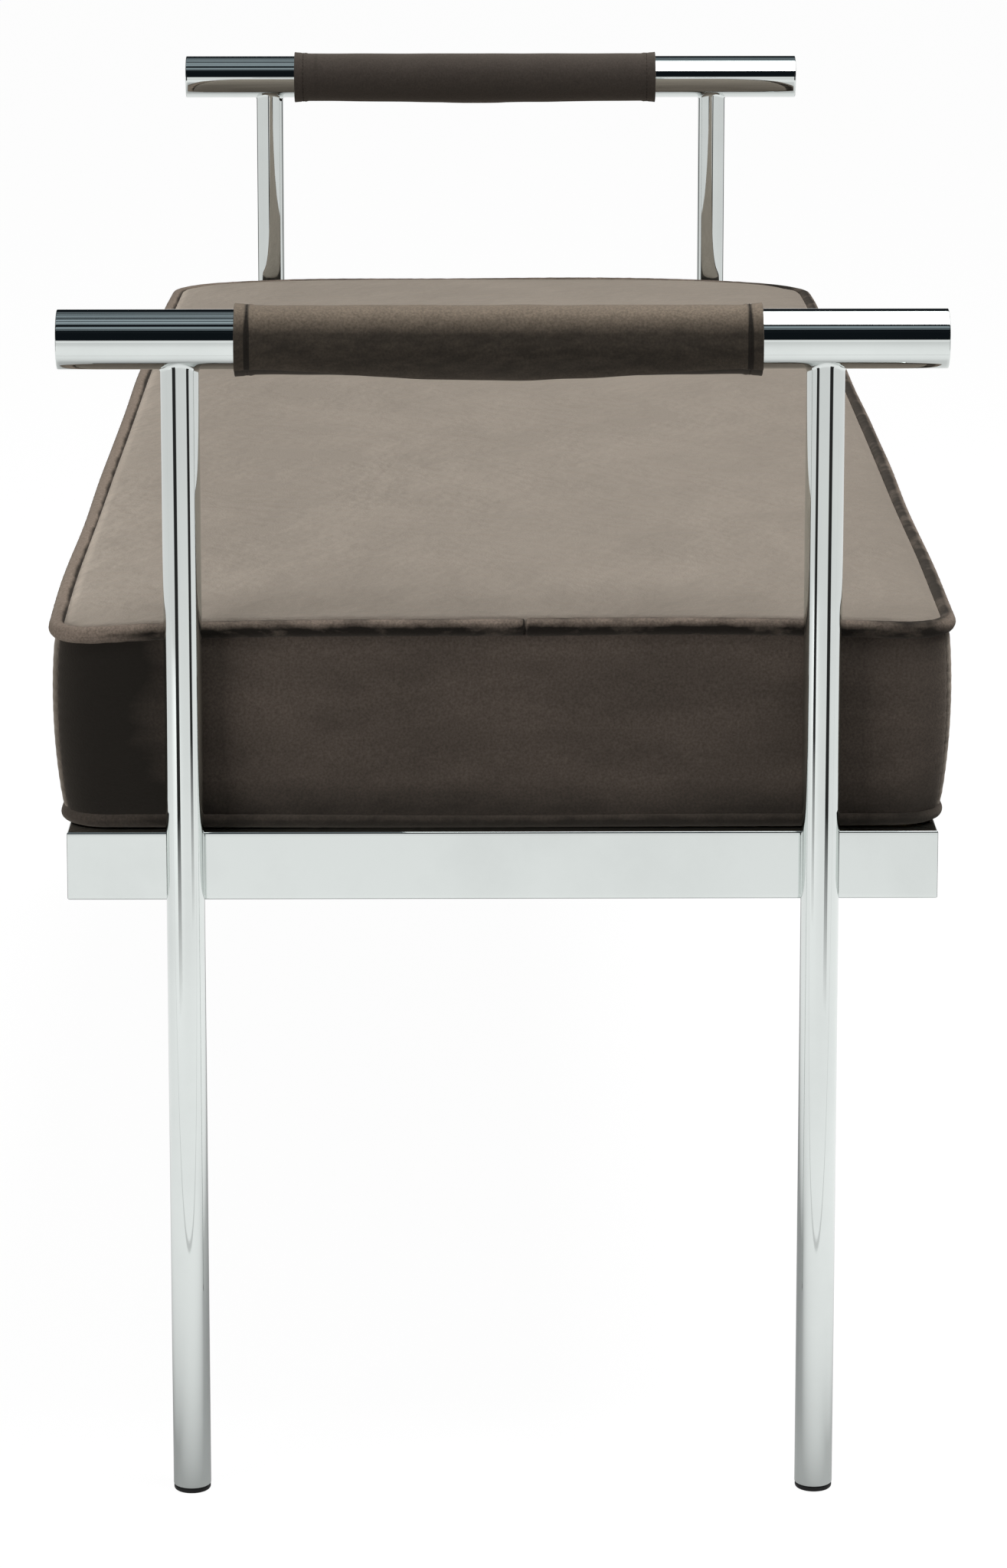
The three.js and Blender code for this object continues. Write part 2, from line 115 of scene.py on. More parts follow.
# Pipings: waves are given as height, longest and shortest
CORD_SIDES = 20
CORD_STEP = 2.6 * MM
CORD_SWING = (0.5 * MM, 0.9, 0.25)
CORD_LIFT = (0.3 * MM, 0.9, 0.2)
CORD_PUCKER = (0.01, 0.025, 0.008)
PILE_HEIGHT = 0.4 * MM
PIPING_JOINT = 13 * MM
JOINT_STEP = 0.09
JOINT_REACH = 40 * MM
JOINT_PINCH = 0.3
JOINT_NIP = 0.7 * MM

# Sleeves
WRAP = math.radians(398)
WRAP_SWING = math.radians(16)
HIDDEN_EDGE = math.radians(-20)
LAP_TURN = (math.radians(328), math.radians(356))
FLAP_LIFT = 1.5 * MM
FLAP_REACH = math.radians(30)
SLACK = 0.7 * MM
MIDDLE_SLACK = 1.4 * MM
SLEEVE_RIPPLE = (0.12 * MM, 0.15, 0.03)
SLEEVE_CLOTH = 0.8 * MM
LAYER_GAP = 0.3 * MM
HEM_WIDTH = 10.4 * MM
HEM_THICKER = 0.55 * MM
HEM_FLARE = 0.7 * MM
FLARE_REACH = 3.5 * MM
HEM_STITCH = 7.2 * MM
STITCH_GROOVE = 0.4 * MM
GROOVE_WIDTH = 0.55 * MM
SLEEVE_SEEDS = {"a": 71, "b": 83}
HEM_ROUND = 0.5 * MM
STRIP_ROUND = 0.45 * MM
STITCH_PITCH = 3.3 * MM
FIRST_STITCH = math.radians(20)
LAST_STITCH = math.radians(4)

# Plating and plywood
FILM_SPAN = (0.42, 0.72)
FILM_TONE = 0.95
WIPING = (14.0, 0.5, 14.0)
PLY_BEAT = 3200.0
PLY_TONE = 0.12

# Pile and painted light: the spans are from where an effect begins to where it is full
PATCH_BEND = 0.05
PATCH_DRAW = (1.0, 1.0, 2.6)
PATCH_SPAN = (0.36, 0.66)
FIBRE_SPAN = (0.3, 0.7)
FIBRE_TONE = (0.7, 1.3)
PILE_ROUGHNESS = (0.98, 0.86)
PILE_BUMP = 0.35 * MM
UP = (0.0, 0.0, 1.0)
SEAT_LEFT = (-0.24, -0.08)
SEAT_RIGHT = (0.05, 0.24)
LEFT_DARKER = 0.14
RIGHT_LIGHTER = 0.26
# Way of a cord's painted light, and of its painted light along the right side
CORD_LIT_WAY = (0.45, -0.5, 0.74)
CORD_OUTWARDS = (0.0, 1.0, 0.3)
CORD_LEFT = (-0.235, -0.2)
CORD_RIGHT = (0.2, 0.235)
# Sleeves' painted light: lit upward faces, painted shade in the stitch grooves and under the lap's flap, and
# a painted highlight on the flap's edge
SLEEVE_LIT_SPAN = (0.28, 0.88)
SLEEVE_REST = 0.18
STITCH_SHADE_SPAN = (1.8 * MM, 0.5 * MM)
LAP_LINE = math.radians(1.5)
LAP_HIGHLIGHT = 0.13
LAP_HIGHLIGHT_REACH = 0.4
LAP_FADE = (1.0, 1.6)
# Spans of the end bands' painted shade at a corner and just above the bottom piping
SHADED_CORNER = (-0.25, -0.165)
SHADED_FOOT = (0.404, 0.422)


def tint(code):
    """Linear colour, with alpha 1, of an sRGB code such as #D8DDDB."""
    part = np.array([int(code[i:i + 2], 16) for i in (1, 3, 5)]) / 255
    linear = np.where(part <= 0.04045, part / 12.92, ((part + 0.055) / 1.055) ** 2.4)
    return (*linear.tolist(), 1.0)


def smooth(value, low, high):
    """Smooth step: 0 at low, 1 at high, with level ends."""
    t = np.clip((value - low) / (high - low), 0, 1)
    return t * t * (3 - 2 * t)


def place(node):
    """Lowest corner, highest corner and middle of a node's box."""
    low, high = (np.array(corner, float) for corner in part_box(node))
    return low, high, (low + high) / 2


# Meshes from grids of points


def shell(name, points, quads, closed=True):
    """Smooth mesh of points and four-cornered faces. Points that fall together, as at a pole, are merged,
    faces without area go, and a closed shape has its faces turned outwards."""
    mesh = bpy.data.meshes.new(name)
    mesh.vertices.add(len(points))
    mesh.vertices.foreach_set("co", np.ascontiguousarray(points, np.float32).ravel())
    mesh.loops.add(quads.size)
    mesh.loops.foreach_set("vertex_index", np.ascontiguousarray(quads, np.int32).ravel())
    mesh.polygons.add(len(quads))
    mesh.polygons.foreach_set("loop_start", np.arange(0, quads.size, 4, dtype=np.int32))
    mesh.update(calc_edges=True)
    work = bmesh.new()
    work.from_mesh(mesh)
    bmesh.ops.remove_doubles(work, verts=work.verts, dist=0.002 * MM)
    bmesh.ops.dissolve_degenerate(work, edges=work.edges, dist=0.001 * MM)
    if closed:
        bmesh.ops.recalc_face_normals(work, faces=work.faces)
    work.to_mesh(mesh)
    work.free()
    mesh.polygons.foreach_set("use_smooth", np.ones(len(mesh.polygons), bool))
    mesh.set_sharp_from_angle(angle=SHARP_ANGLE)
    return mesh


def grid_quads(rows, columns, around, along):
    """Corners of the faces of a grid, whose last column or row may join its first."""
    row = np.arange(rows if along else rows - 1)[:, None]
    column = np.arange(columns if around else columns - 1)[None, :]
    here, below = row * columns, (row + 1) % rows * columns
    beside = (column + 1) % columns
    corners = (here + column, here + beside, below + beside, below + column)
    return np.stack(np.broadcast_arrays(*corners), axis=-1).reshape(-1, 4)


def surface(name, points, around=False, along=False, closed=True):
    """Mesh over a grid of points, joined around its columns or along its rows where asked."""
    rows, columns = points.shape[:2]
    return shell(name, points.reshape(-1, 3), grid_quads(rows, columns, around, along), closed)


def copies(name, points):
    """One mesh of many small closed grids: the first index counts them, and each closes around its
    columns."""
    count, rows, columns = points.shape[:3]
    quads = grid_quads(rows, columns, True, False)
    every = quads[None] + (np.arange(count) * rows * columns)[:, None, None]
    return shell(name, points.reshape(-1, 3), every.reshape(-1, 4))


def piece(name, mesh, material, slot, *nodes):
    """Object of a mesh at the origin, which rides on the bench and stands for the CAD nodes named."""
    made = bpy.data.objects.new(name, mesh)
    bpy.context.collection.objects.link(made)
    mesh.materials.append(material)
    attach(made, BODY)
    if nodes:
        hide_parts(*nodes)
    return made


def arc(centre, radius, start, end, steps=6):
    """Points of a profile on an arc about a centre, from one angle in degrees to another."""
    turn = np.radians(np.linspace(start, end, steps))
    return np.stack([centre[0] + radius * np.cos(turn), centre[1] + radius * np.sin(turn)], axis=-1)


def lathe(name, profile, foot, axis, sides=ROUND_SIDES):
    """Profile of (radius, distance along the axis) points turned round the axis through foot."""
    axis = np.array(axis, float)
    side = np.roll(axis, 1)
    other = np.cross(axis, side)
    turn = np.linspace(0, 2 * np.pi, sides, endpoint=False)
    ring = np.cos(turn)[:, None] * side + np.sin(turn)[:, None] * other
    points = np.array(foot) + profile[:, None, 1:2] * axis + profile[:, None, 0:1] * ring[None]
    return surface(name, points, around=True)


# Effects that several finishes share, and the finishes


def node(tree, kind, inputs=None, **settings):
    """New node with its settings, its sockets filled with values or linked to other sockets."""
    made = tree.nodes.new(kind)
    for key, value in settings.items():
        setattr(made, key, value)
    for key, value in (inputs or {}).items():
        if isinstance(value, bpy.types.NodeSocket):
            tree.links.new(value, made.inputs[key])
        else:
            made.inputs[key].default_value = value
    return made


def effect(name, inputs, outputs):
    """Empty node group with named sockets. Gives its tree, its input sockets and its output node."""
    tree = bpy.data.node_groups.new(name, "ShaderNodeTree")
    for key, (kind, value) in inputs.items():
        socket = tree.interface.new_socket(name=key, in_out="INPUT", socket_type=kind)
        if value is not None:
            socket.default_value = value
    for key in outputs:
        tree.interface.new_socket(name=key, in_out="OUTPUT", socket_type="NodeSocketFloat")
    return tree, tree.nodes.new("NodeGroupInput").outputs, tree.nodes.new("NodeGroupOutput")


def noise(tree, vector, scale, detail=2.0, roughness=0.5, stretch=None):
    """Noise from 0 to 1 on a vector, drawn out along the axes by stretch."""
    if stretch:
        vector = node(tree, "ShaderNodeMapping", {"Vector": vector, "Scale": stretch}).outputs["Vector"]
    made = node(tree, "ShaderNodeTexNoise", {"Vector": vector, "Scale": scale, "Detail": detail,
                                             "Roughness": roughness})
    return made.outputs["Fac"]


def between(tree, value, low, high, start=0.0, end=1.0):
    """Value mapped from low..high to start..end, held at both."""
    made = node(tree, "ShaderNodeMapRange", {"Value": value, "From Min": low, "From Max": high,
                                             "To Min": start, "To Max": end})
    return made.outputs["Result"]


def sums(tree, operation, first, second=0.0):
    """Result of one step of arithmetic."""
    return node(tree, "ShaderNodeMath", {0: first, 1: second}, operation=operation).outputs["Value"]


def vector_sums(tree, operation, first, second=(0.0, 0.0, 0.0)):
    """Vector from one step of vector arithmetic."""
    return node(tree, "ShaderNodeVectorMath", {0: first, 1: second}, operation=operation).outputs["Vector"]


def apart(tree, vector):
    """The X, Y and Z of a vector."""
    return node(tree, "ShaderNodeSeparateXYZ", {"Vector": vector}).outputs


def make_pile():
    """Brushed pile: Nap is broad patches where the pile lies over, Fibre the single tufts, Height both."""
    tree, given, out = effect(
        "pile",
        {"Vector": ("NodeSocketVector", None), "Patch Scale": ("NodeSocketFloat", 9.0),
         "Fibre Scale": ("NodeSocketFloat", 700.0), "Patch Height": ("NodeSocketFloat", 0.5)},
        ("Nap", "Fibre", "Height"))
    bent = node(tree, "ShaderNodeTexNoise", {"Vector": given["Vector"], "Scale": 5.0, "Detail": 1.0})
    shift = vector_sums(tree, "MULTIPLY", bent.outputs["Color"], (PATCH_BEND,) * 3)
    drawn = vector_sums(tree, "ADD", given["Vector"], shift)
    patches = noise(tree, drawn, given["Patch Scale"], 4.0, 0.55, PATCH_DRAW)
    nap = between(tree, patches, *PATCH_SPAN)
    fibre = noise(tree, given["Vector"], given["Fibre Scale"], 2.0, 0.6)
    broad = sums(tree, "MULTIPLY", nap, given["Patch Height"])
    tree.links.new(nap, out.inputs["Nap"])
    tree.links.new(fibre, out.inputs["Fibre"])
    tree.links.new(sums(tree, "ADD", broad, fibre), out.inputs["Height"])
    return tree


def make_handling():
    """Handled surface: Smudge is a soft film in patches, Hairline the fine scratches of wiping along an
    axis."""
    tree, given, out = effect(
        "handling", {"Vector": ("NodeSocketVector", None), "Scale": ("NodeSocketFloat", 14.0)},
        ("Smudge", "Hairline"))
    film = noise(tree, given["Vector"], given["Scale"], 5.0, 0.6)
    tree.links.new(between(tree, film, *FILM_SPAN), out.inputs["Smudge"])
    lines = noise(tree, given["Vector"], 60.0, 3.0, 0.7, WIPING)
    tree.links.new(lines, out.inputs["Hairline"])
    return tree


PILE = make_pile()
HANDLING = make_handling()


def finish(name, **fixed):
    """New material with fixed values on its shader. Gives it, its tree, its shader and Object
    coordinates."""
    made = bpy.data.materials.new(name)
    made.use_nodes = True
    tree = made.node_tree
    shader = tree.nodes["Principled BSDF"]
    for key, value in fixed.items():
        shader.inputs[key.replace("_", " ")].default_value = value
    return made, tree, shader, tree.nodes.new("ShaderNodeTexCoord").outputs["Object"]


def blended(tree, factor, first, second):
    """Colour between two by a factor."""
    return node(tree, "ShaderNodeMix", {0: factor, 6: first, 7: second}, data_type="RGBA").outputs[2]


def dress(tree, shader, colour, roughness, height, distance, strength):
    """Gives a shader its colour, its roughness where that isn't fixed, and the bump of a height."""
    bump = node(tree, "ShaderNodeBump", {"Height": height, "Distance": distance, "Strength": strength})
    tree.links.new(colour, shader.inputs["Base Color"])
    if roughness is not None:
        tree.links.new(roughness, shader.inputs["Roughness"])
    tree.links.new(bump.outputs["Normal"], shader.inputs["Normal"])


def grouped(tree, effect_tree, inputs):
    """An effect placed in a material with its own values."""
    return node(tree, "ShaderNodeGroup", inputs, node_tree=effect_tree).outputs


def velvet(name, dark, light, patch_scale, patch_height, sheen, painted_light_mask, mottle):
    """Velvet: a colour between a dark and a light one, with a constant sheen of its tips. The painted light
    mask paints light and shade into that colour, and the pile's patches mottle it."""
    made, tree, shader, coordinates = finish(
        name, Sheen_Weight=sheen, Sheen_Roughness=0.72, Sheen_Tint=tint("#FFF1E0"), Specular_IOR_Level=0.12)
    pile = grouped(tree, PILE, {"Vector": coordinates, "Patch Scale": patch_scale,
                                "Patch Height": patch_height})
    mottled = between(tree, pile["Nap"], 0.0, 1.0, -mottle, mottle)
    # nap here carries the painted light and shade of the mask, mottled by the pile's random patches
    nap = between(tree, sums(tree, "ADD", painted_light_mask(tree, coordinates), mottled), 0.0, 1.0)
    colour = blended(tree, nap, tint(dark), tint(light))
    speck = between(tree, pile["Fibre"], *FIBRE_SPAN, *FIBRE_TONE)
    toned = node(tree, "ShaderNodeVectorMath", {0: colour, "Scale": speck}, operation="SCALE").outputs[0]
    roughness = between(tree, nap, 0.0, 1.0, *PILE_ROUGHNESS)
    dress(tree, shader, toned, roughness, pile["Height"], PILE_BUMP, 0.5)
    return made


def leaning(tree, way, low, high):
    """Mask from 0 to 1 of the faces that lean towards a direction."""
    facing = node(tree, "ShaderNodeNewGeometry").outputs["Normal"]
    lean = node(tree, "ShaderNodeVectorMath", {0: facing, 1: way}, operation="DOT_PRODUCT").outputs["Value"]
    return between(tree, lean, low, high)


def seat_painted_light(tree, coordinates):
    """Painted light of the seat: on its upward faces a painted shade along the left edge and a painted
    highlight along the right."""
    across = apart(tree, coordinates)["Y"]
    # painted shade along the left edge, painted highlight along the right
    darker = between(tree, across, *SEAT_LEFT, -LEFT_DARKER, 0.0)
    lighter = between(tree, across, *SEAT_RIGHT, 0.0, RIGHT_LIGHTER)
    tilt = sums(tree, "MULTIPLY", leaning(tree, UP, 0.3, 0.8), sums(tree, "ADD", darker, lighter))
    return sums(tree, "ADD", 0.5, tilt)


def piping_painted_light(tree, coordinates):
    """Painted light and shade of a cord: light on faces turned up, left and towards end A; along the left
    side light all round but for painted shade on its inner flank in the crease, and along the right light
    only on faces turned outwards, painted shade on the others."""
    across = apart(tree, coordinates)["Y"]
    # painted light on faces turned up and to the left, painted shade on the rest
    painted_lit_share = leaning(tree, CORD_LIT_WAY, 0.5, 1.0)
    open_side = sums(tree, "SUBTRACT", 1.0, leaning(tree, (0.0, 1.0, 0.0), 0.4, 0.75))
    left = between(tree, across, *CORD_LEFT, 1.0, 0.0)
    painted_lit_share = sums(tree, "ADD", painted_lit_share, sums(tree, "MULTIPLY", left, open_side))
    # along the right: painted light on outward faces, painted shade on the inner ones
    change = sums(tree, "SUBTRACT", leaning(tree, CORD_OUTWARDS, 0.4, 1.1), painted_lit_share)
    right = between(tree, across, *CORD_RIGHT)
    return sums(tree, "ADD", painted_lit_share, sums(tree, "MULTIPLY", right, change))


def sleeve_painted_light(tree, coordinates):
    """Painted light of a sleeve: lighter on faces turned up over the bar, painted shade in the stitch grooves
    of its hems and in the flap's shadow where it comes out from under its own lap, and a painted highlight
    along the lap's edge."""
    # painted light on faces turned up, painted shade on the lower faces
    painted_lit_share = between(tree, leaning(tree, UP, *SLEEVE_LIT_SPAN), 0.0, 1.0, SLEEVE_REST, 1.0)
    parts = apart(tree, coordinates)
    low, high, middle = place("sleeve_cover_a")
    run = high[1] - low[1]
    from_middle = sums(tree, "ABSOLUTE", sums(tree, "SUBTRACT", parts["Y"], middle[1]))
    from_stitch = sums(tree, "ABSOLUTE", sums(tree, "SUBTRACT", from_middle, run / 2 - HEM_STITCH))
    # painted shade in the stitch groove of each hem
    painted_lit_share = sums(tree, "SUBTRACT", painted_lit_share, between(tree, from_stitch, *STITCH_SHADE_SPAN, 0.0, 0.9))
    bar = place("top_bar_a")[2]
    outward = sums(tree, "SUBTRACT", sums(tree, "ABSOLUTE", parts["X"]), bar[0])
    bearing = sums(tree, "ARCTAN2", sums(tree, "SUBTRACT", parts["Z"], bar[2]), outward)
    share = sums(tree, "MULTIPLY", sums(tree, "SUBTRACT", parts["Y"], low[1]), 2 * math.pi / run)
    swing = sums(tree, "MULTIPLY", sums(tree, "COSINE", share), WRAP_SWING)
    past = sums(tree, "SUBTRACT", sums(tree, "ADD", swing, HIDDEN_EDGE - WRAP + 2 * math.pi), bearing)
    # painted highlight on the flap's edge, and below it the flap's painted shadow
    edge_highlight = between(tree, past, -LAP_HIGHLIGHT_REACH, 0.0, 0.0, LAP_HIGHLIGHT)
    highlight_and_lap_shadow = sums(tree, "SUBTRACT", edge_highlight, between(tree, past, 0.0, LAP_LINE))
    faded = sums(tree, "MULTIPLY", highlight_and_lap_shadow, between(tree, past, *LAP_FADE, 1.0, 0.0))
    return sums(tree, "ADD", painted_lit_share, faded)


def band_painted_shade(tree, coordinates):
    """Painted shade of the end bands: darker at one corner and in the crease just above the bottom piping."""
    parts = apart(tree, coordinates)
    across = sums(tree, "MULTIPLY", parts["Y"], sums(tree, "SIGN", parts["X"]))
    # painted shade at the corner, painted shade in the crease above the bottom piping
    corner = between(tree, across, *SHADED_CORNER, -0.7, 0.75)
    foot = between(tree, parts["Z"], *SHADED_FOOT, -0.5, 0.0)
    return sums(tree, "ADD", corner, foot)


def polished(name, code, low, high, hairline):
    """Plated metal: a roughness between low and high by its smudges, and wiping lines of a given depth."""
    made, tree, shader, coordinates = finish(name, Metallic=1.0)
    marks = grouped(tree, HANDLING, {"Vector": coordinates})
    base = tint(code)
    film = tuple(channel * FILM_TONE for channel in base[:3]) + (1.0,)
    colour = blended(tree, marks["Smudge"], base, film)
    roughness = between(tree, marks["Smudge"], 0.0, 1.0, low, high)
    dress(tree, shader, colour, roughness, marks["Hairline"], hairline, 0.3)
    return made


def moulded_plastic():
    """Black plastic with a fine moulded grain and scuffs."""
    made, tree, shader, coordinates = finish("black_plastic", Specular_IOR_Level=0.4)
    marks = grouped(tree, HANDLING, {"Vector": coordinates, "Scale": 90.0})
    colour = blended(tree, marks["Smudge"], tint("#151516"), tint("#2A2A2B"))
    roughness = between(tree, marks["Smudge"], 0.0, 1.0, 0.42, 0.62)
    dress(tree, shader, colour, roughness, noise(tree, coordinates, 2600.0), 0.1 * MM, 0.4)
    return made


def felt(name, dark, light, roughness):
    """Matted or bonded fibres, without sheen."""
    made, tree, shader, coordinates = finish(name, Roughness=roughness, Specular_IOR_Level=0.15)
    pile = grouped(tree, PILE, {"Vector": coordinates, "Patch Scale": 60.0, "Fibre Scale": 900.0})
    colour = blended(tree, pile["Fibre"], tint(dark), tint(light))
    dress(tree, shader, colour, None, pile["Height"], 0.4 * MM, 0.6)
    return made


def open_foam():
    """Cream foam with open cells."""
    made, tree, shader, coordinates = finish("foam", Roughness=0.95, Specular_IOR_Level=0.1)
    cells = node(tree, "ShaderNodeTexVoronoi", {"Vector": coordinates, "Scale": 700.0}).outputs["Distance"]
    dress(tree, shader, blended(tree, cells, tint("#CDBF95"), tint("#EFE8CF")), None, cells, 0.6 * MM, 0.7)
    return made


def plywood_sheet():
    """Birch plywood: long grain on its faces and thin plies through its height."""
    made, tree, shader, coordinates = finish("plywood", Specular_IOR_Level=0.25)
    grain = noise(tree, coordinates, 12.0, 6.0, 0.6, (1.0, 14.0, 1.0))
    plies = sums(tree, "SINE", sums(tree, "MULTIPLY", apart(tree, coordinates)["Z"], PLY_BEAT))
    tone = sums(tree, "ADD", grain, sums(tree, "MULTIPLY", plies, PLY_TONE))
    colour = blended(tree, tone, tint("#A77C4A"), tint("#DDBB86"))
    dress(tree, shader, colour, between(tree, grain, 0.0, 1.0, 0.6, 0.8), grain, 0.2 * MM, 0.4)
    return made


chrome = polished("chrome", "#D8DDDB", 0.02, 0.05, 0.004 * MM)
zinc_plate = polished("zinc_plate", "#B4B6B6", 0.3, 0.45, 0.02 * MM)
black_plastic = moulded_plastic()
# Each velvet's dark and light colours are the ends of its painted light and shade, chosen by its mask
seat_velvet = velvet("seat_velvet", "#4C433C", "#675D54", 12.0, 10.0, 1.0, seat_painted_light, 0.5)
band_velvet = velvet("band_velvet", "#0D0B0A", "#6B5F56", 14.0, 0.5, 0.25, band_painted_shade, 0.14)
piping_velvet = velvet("piping_velvet", "#15110F", "#96877A", 45.0, 0.7, 0.15, piping_painted_light, 0.26)
# bottom piping: darker colours, a painted shade under the band's overhang
bottom_piping_velvet = velvet("bottom_piping_velvet", "#1C1815", "#463E38", 60.0, 0.7, 0.3, piping_painted_light, 0.3)
sleeve_velvet = {
    "a": velvet("sleeve_velvet", "#0C0A09", "#827566", 80.0, 0.5, 0.2, sleeve_painted_light, 0.06),
    # far sleeve: darker colours, a painted shade
    "b": velvet("sleeve_velvet_painted_shade", "#302A27", "#3C3531", 80.0, 0.5, 0.3, sleeve_painted_light, 0.16)}
lining_felt = felt("sleeve_lining", "#6F6A63", "#98928A", 0.95)
dust_cloth = felt("dust_cloth", "#0E0E0F", "#242425", 0.9)
thread = felt("thread", "#241F1C", "#3A332E", 0.8)
foam = open_foam()
plywood = plywood_sheet()

for kept, material in {"seat_board": plywood, "post_insert": zinc_plate}.items():
    for name, cad_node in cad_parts.items():
        if name.startswith(kept):
            cad_node.data.materials.clear()
            cad_node.data.materials.append(material)


# Camera, light and stage

CAMERA_AT = (3.5335, -0.0209, 1.136)
CAMERA_YAW = math.radians(0.427)
CAMERA_PITCH = math.radians(10.551)
CAMERA_LENS = 118.08
CAMERA_SHIFT = -0.2
SENSOR_WIDTH = 36.0


def aimed(way):
    """Turn of a camera or light that looks along a direction."""
    return Vector(way).to_track_quat("-Z", "Y").to_euler()


def make_camera():
    """Long lens at the end of the bench, looking along it and a little down, with the lens plane
    dropped."""
    data = bpy.data.cameras.new("camera")
    data.lens, data.sensor_width, data.shift_y = CAMERA_LENS, SENSOR_WIDTH, CAMERA_SHIFT
    data.clip_start, data.clip_end = 0.05, 100.0
    made = bpy.data.objects.new("camera", data)
    bpy.context.collection.objects.link(made)
    flat = math.cos(CAMERA_PITCH)
    gaze = (-math.cos(CAMERA_YAW) * flat, math.sin(CAMERA_YAW) * flat, -math.sin(CAMERA_PITCH))
    made.location = CAMERA_AT
    made.rotation_euler = aimed(gaze)
    bpy.context.scene.camera = made


SOFTBOX_AT = (0.2, 0.72, 2.3)
SOFTBOX_SIZE = (2.5, 1.6)
SOFTBOX_POWER = 40.5
FILL_AT = (2.25, -1.75, 0.7)
FILL_SIZE = (1.3, 0.9)
FILL_POWER = 17.0
FILL_AIM = (0.55, 0.0, 0.45)
SKY_FILL = 0.12
STREAK_SCALE = 5.0
STREAK_SPAN = (0.45, 0.56)
OVERHEAD_SPAN = (0.55, 0.88)
HORIZON_SPAN = (0.02, 0.1)
HORIZON_GLOW = 1.05


def soft_light(name, at, turn, size, power):
    """Rectangular soft light, which the camera doesn't see. Without a turn it shines straight down."""
    data = bpy.data.lights.new(name, "AREA")
    data.shape = "RECTANGLE"
    data.size, data.size_y = size
    data.energy = power
    made = bpy.data.objects.new(name, data)
    bpy.context.collection.objects.link(made)
    made.location = at
    made.rotation_euler = turn
    made.visible_camera = False
    return made


def make_lights():
    """Overhead softbox along the bench, to its right, and a fill by the camera's left that mirrors don't
    show."""
    soft_light("softbox", SOFTBOX_AT, (0, 0, 0), SOFTBOX_SIZE, SOFTBOX_POWER)
    turn = aimed(Vector(FILL_AIM) - Vector(FILL_AT))
    soft_light("left_fill", FILL_AT, turn, FILL_SIZE, FILL_POWER).visible_glossy = False


def make_world():
    """White to the camera, an even soft fill, and in mirrors a dark studio: a pale horizon, and overhead
    fine slate streaks across the bench."""
    world = bpy.data.worlds.new("studio")
    bpy.context.scene.world = world
    world.use_nodes = True
    tree = world.node_tree
    rays = node(tree, "ShaderNodeLightPath").outputs
    parts = apart(tree, node(tree, "ShaderNodeTexCoord").outputs["Generated"])
    slope = sums(tree, "ARCTAN2", parts["Z"], parts["X"])
    lines = node(tree, "ShaderNodeTexNoise", {"W": slope, "Scale": STREAK_SCALE, "Detail": 2.0},
                 noise_dimensions="1D")
    streak = between(tree, lines.outputs["Fac"], *STREAK_SPAN)
    overhead = between(tree, parts["Z"], *OVERHEAD_SPAN)
    ceiling = blended(tree, sums(tree, "MULTIPLY", streak, overhead), tint("#12171B"), tint("#A9B6BD"))
    mirrored = blended(tree, between(tree, parts["Z"], *HORIZON_SPAN), (HORIZON_GLOW,) * 3 + (1,), ceiling)
    fill = blended(tree, rays["Is Glossy Ray"], (SKY_FILL,) * 3 + (1,), mirrored)
    shown = blended(tree, rays["Is Camera Ray"], fill, (1, 1, 1, 1))
    tree.links.new(shown, tree.nodes["Background"].inputs["Color"])


FLOOR_RADIUS = 14.0
FLOOR_LEVEL = -0.3 * MM
FLOOR_GLOW = 0.96
FLOOR_PAINT = 0.16
MIRRORED_GLOW = 0.77
MIRRORED_PAINT = 0.45
FLOOR_BOUNCE = 0.34
SHADE_DEPTH = 0.62
SHADE_REACH = 0.12
PAPER_EDGE = 1.13
PAPER_EDGE_DEPTH = 0.45
PAPER_EDGE_SPAN = (0.016, 0.006)


def stage_material(name):
    """New material without a shader. Gives it and its tree."""
    made = bpy.data.materials.new(name)
    made.use_nodes = True
    made.node_tree.nodes.remove(made.node_tree.nodes["Principled BSDF"])
    return made, made.node_tree


def mixed(tree, factor, first, second):
    """Shader between two by a factor."""
    return node(tree, "ShaderNodeMixShader", {0: factor, 1: first, 2: second}).outputs[0]


def painted(tree, glow, paint):
    """Paint that takes the bench's shadow, over an even glow."""
    matt = node(tree, "ShaderNodeBsdfDiffuse", {"Color": (paint,) * 3 + (1,)})
    even = node(tree, "ShaderNodeEmission", {"Strength": glow})
    return node(tree, "ShaderNodeAddShader", {0: matt.outputs[0], 1: even.outputs[0]}).outputs[0]


def on_stage(name, mesh, material):
    """Object of the stage, which isn't part of the bench."""
    made = bpy.data.objects.new(name, mesh)
    bpy.context.collection.objects.link(made)
    mesh.materials.append(material)
    return made


def mirrored_glow(tree):
    """Glow of the floor in mirrors: a painted shadow of the bench, darker by a decay with the distance from
    the bench's box, and darker on a thin line where the floor paper ends."""
    size = vector_sums(tree, "ABSOLUTE", node(tree, "ShaderNodeTexCoord").outputs["Object"])
    past = vector_sums(tree, "MAXIMUM", vector_sums(tree, "SUBTRACT", size, (*cad_box[1][:2], 0)))
    distance = node(tree, "ShaderNodeVectorMath", {0: past}, operation="LENGTH").outputs["Value"]
    decay = sums(tree, "POWER", math.e, sums(tree, "DIVIDE", distance, -SHADE_REACH))
    off_edge = sums(tree, "ABSOLUTE", sums(tree, "SUBTRACT", apart(tree, size)["X"], PAPER_EDGE))
    line = between(tree, off_edge, *PAPER_EDGE_SPAN, 0.0, PAPER_EDGE_DEPTH)
    shade = sums(tree, "MAXIMUM", sums(tree, "MULTIPLY", decay, SHADE_DEPTH), line)
    return between(tree, shade, 0.0, 1.0, MIRRORED_GLOW, 0.0)


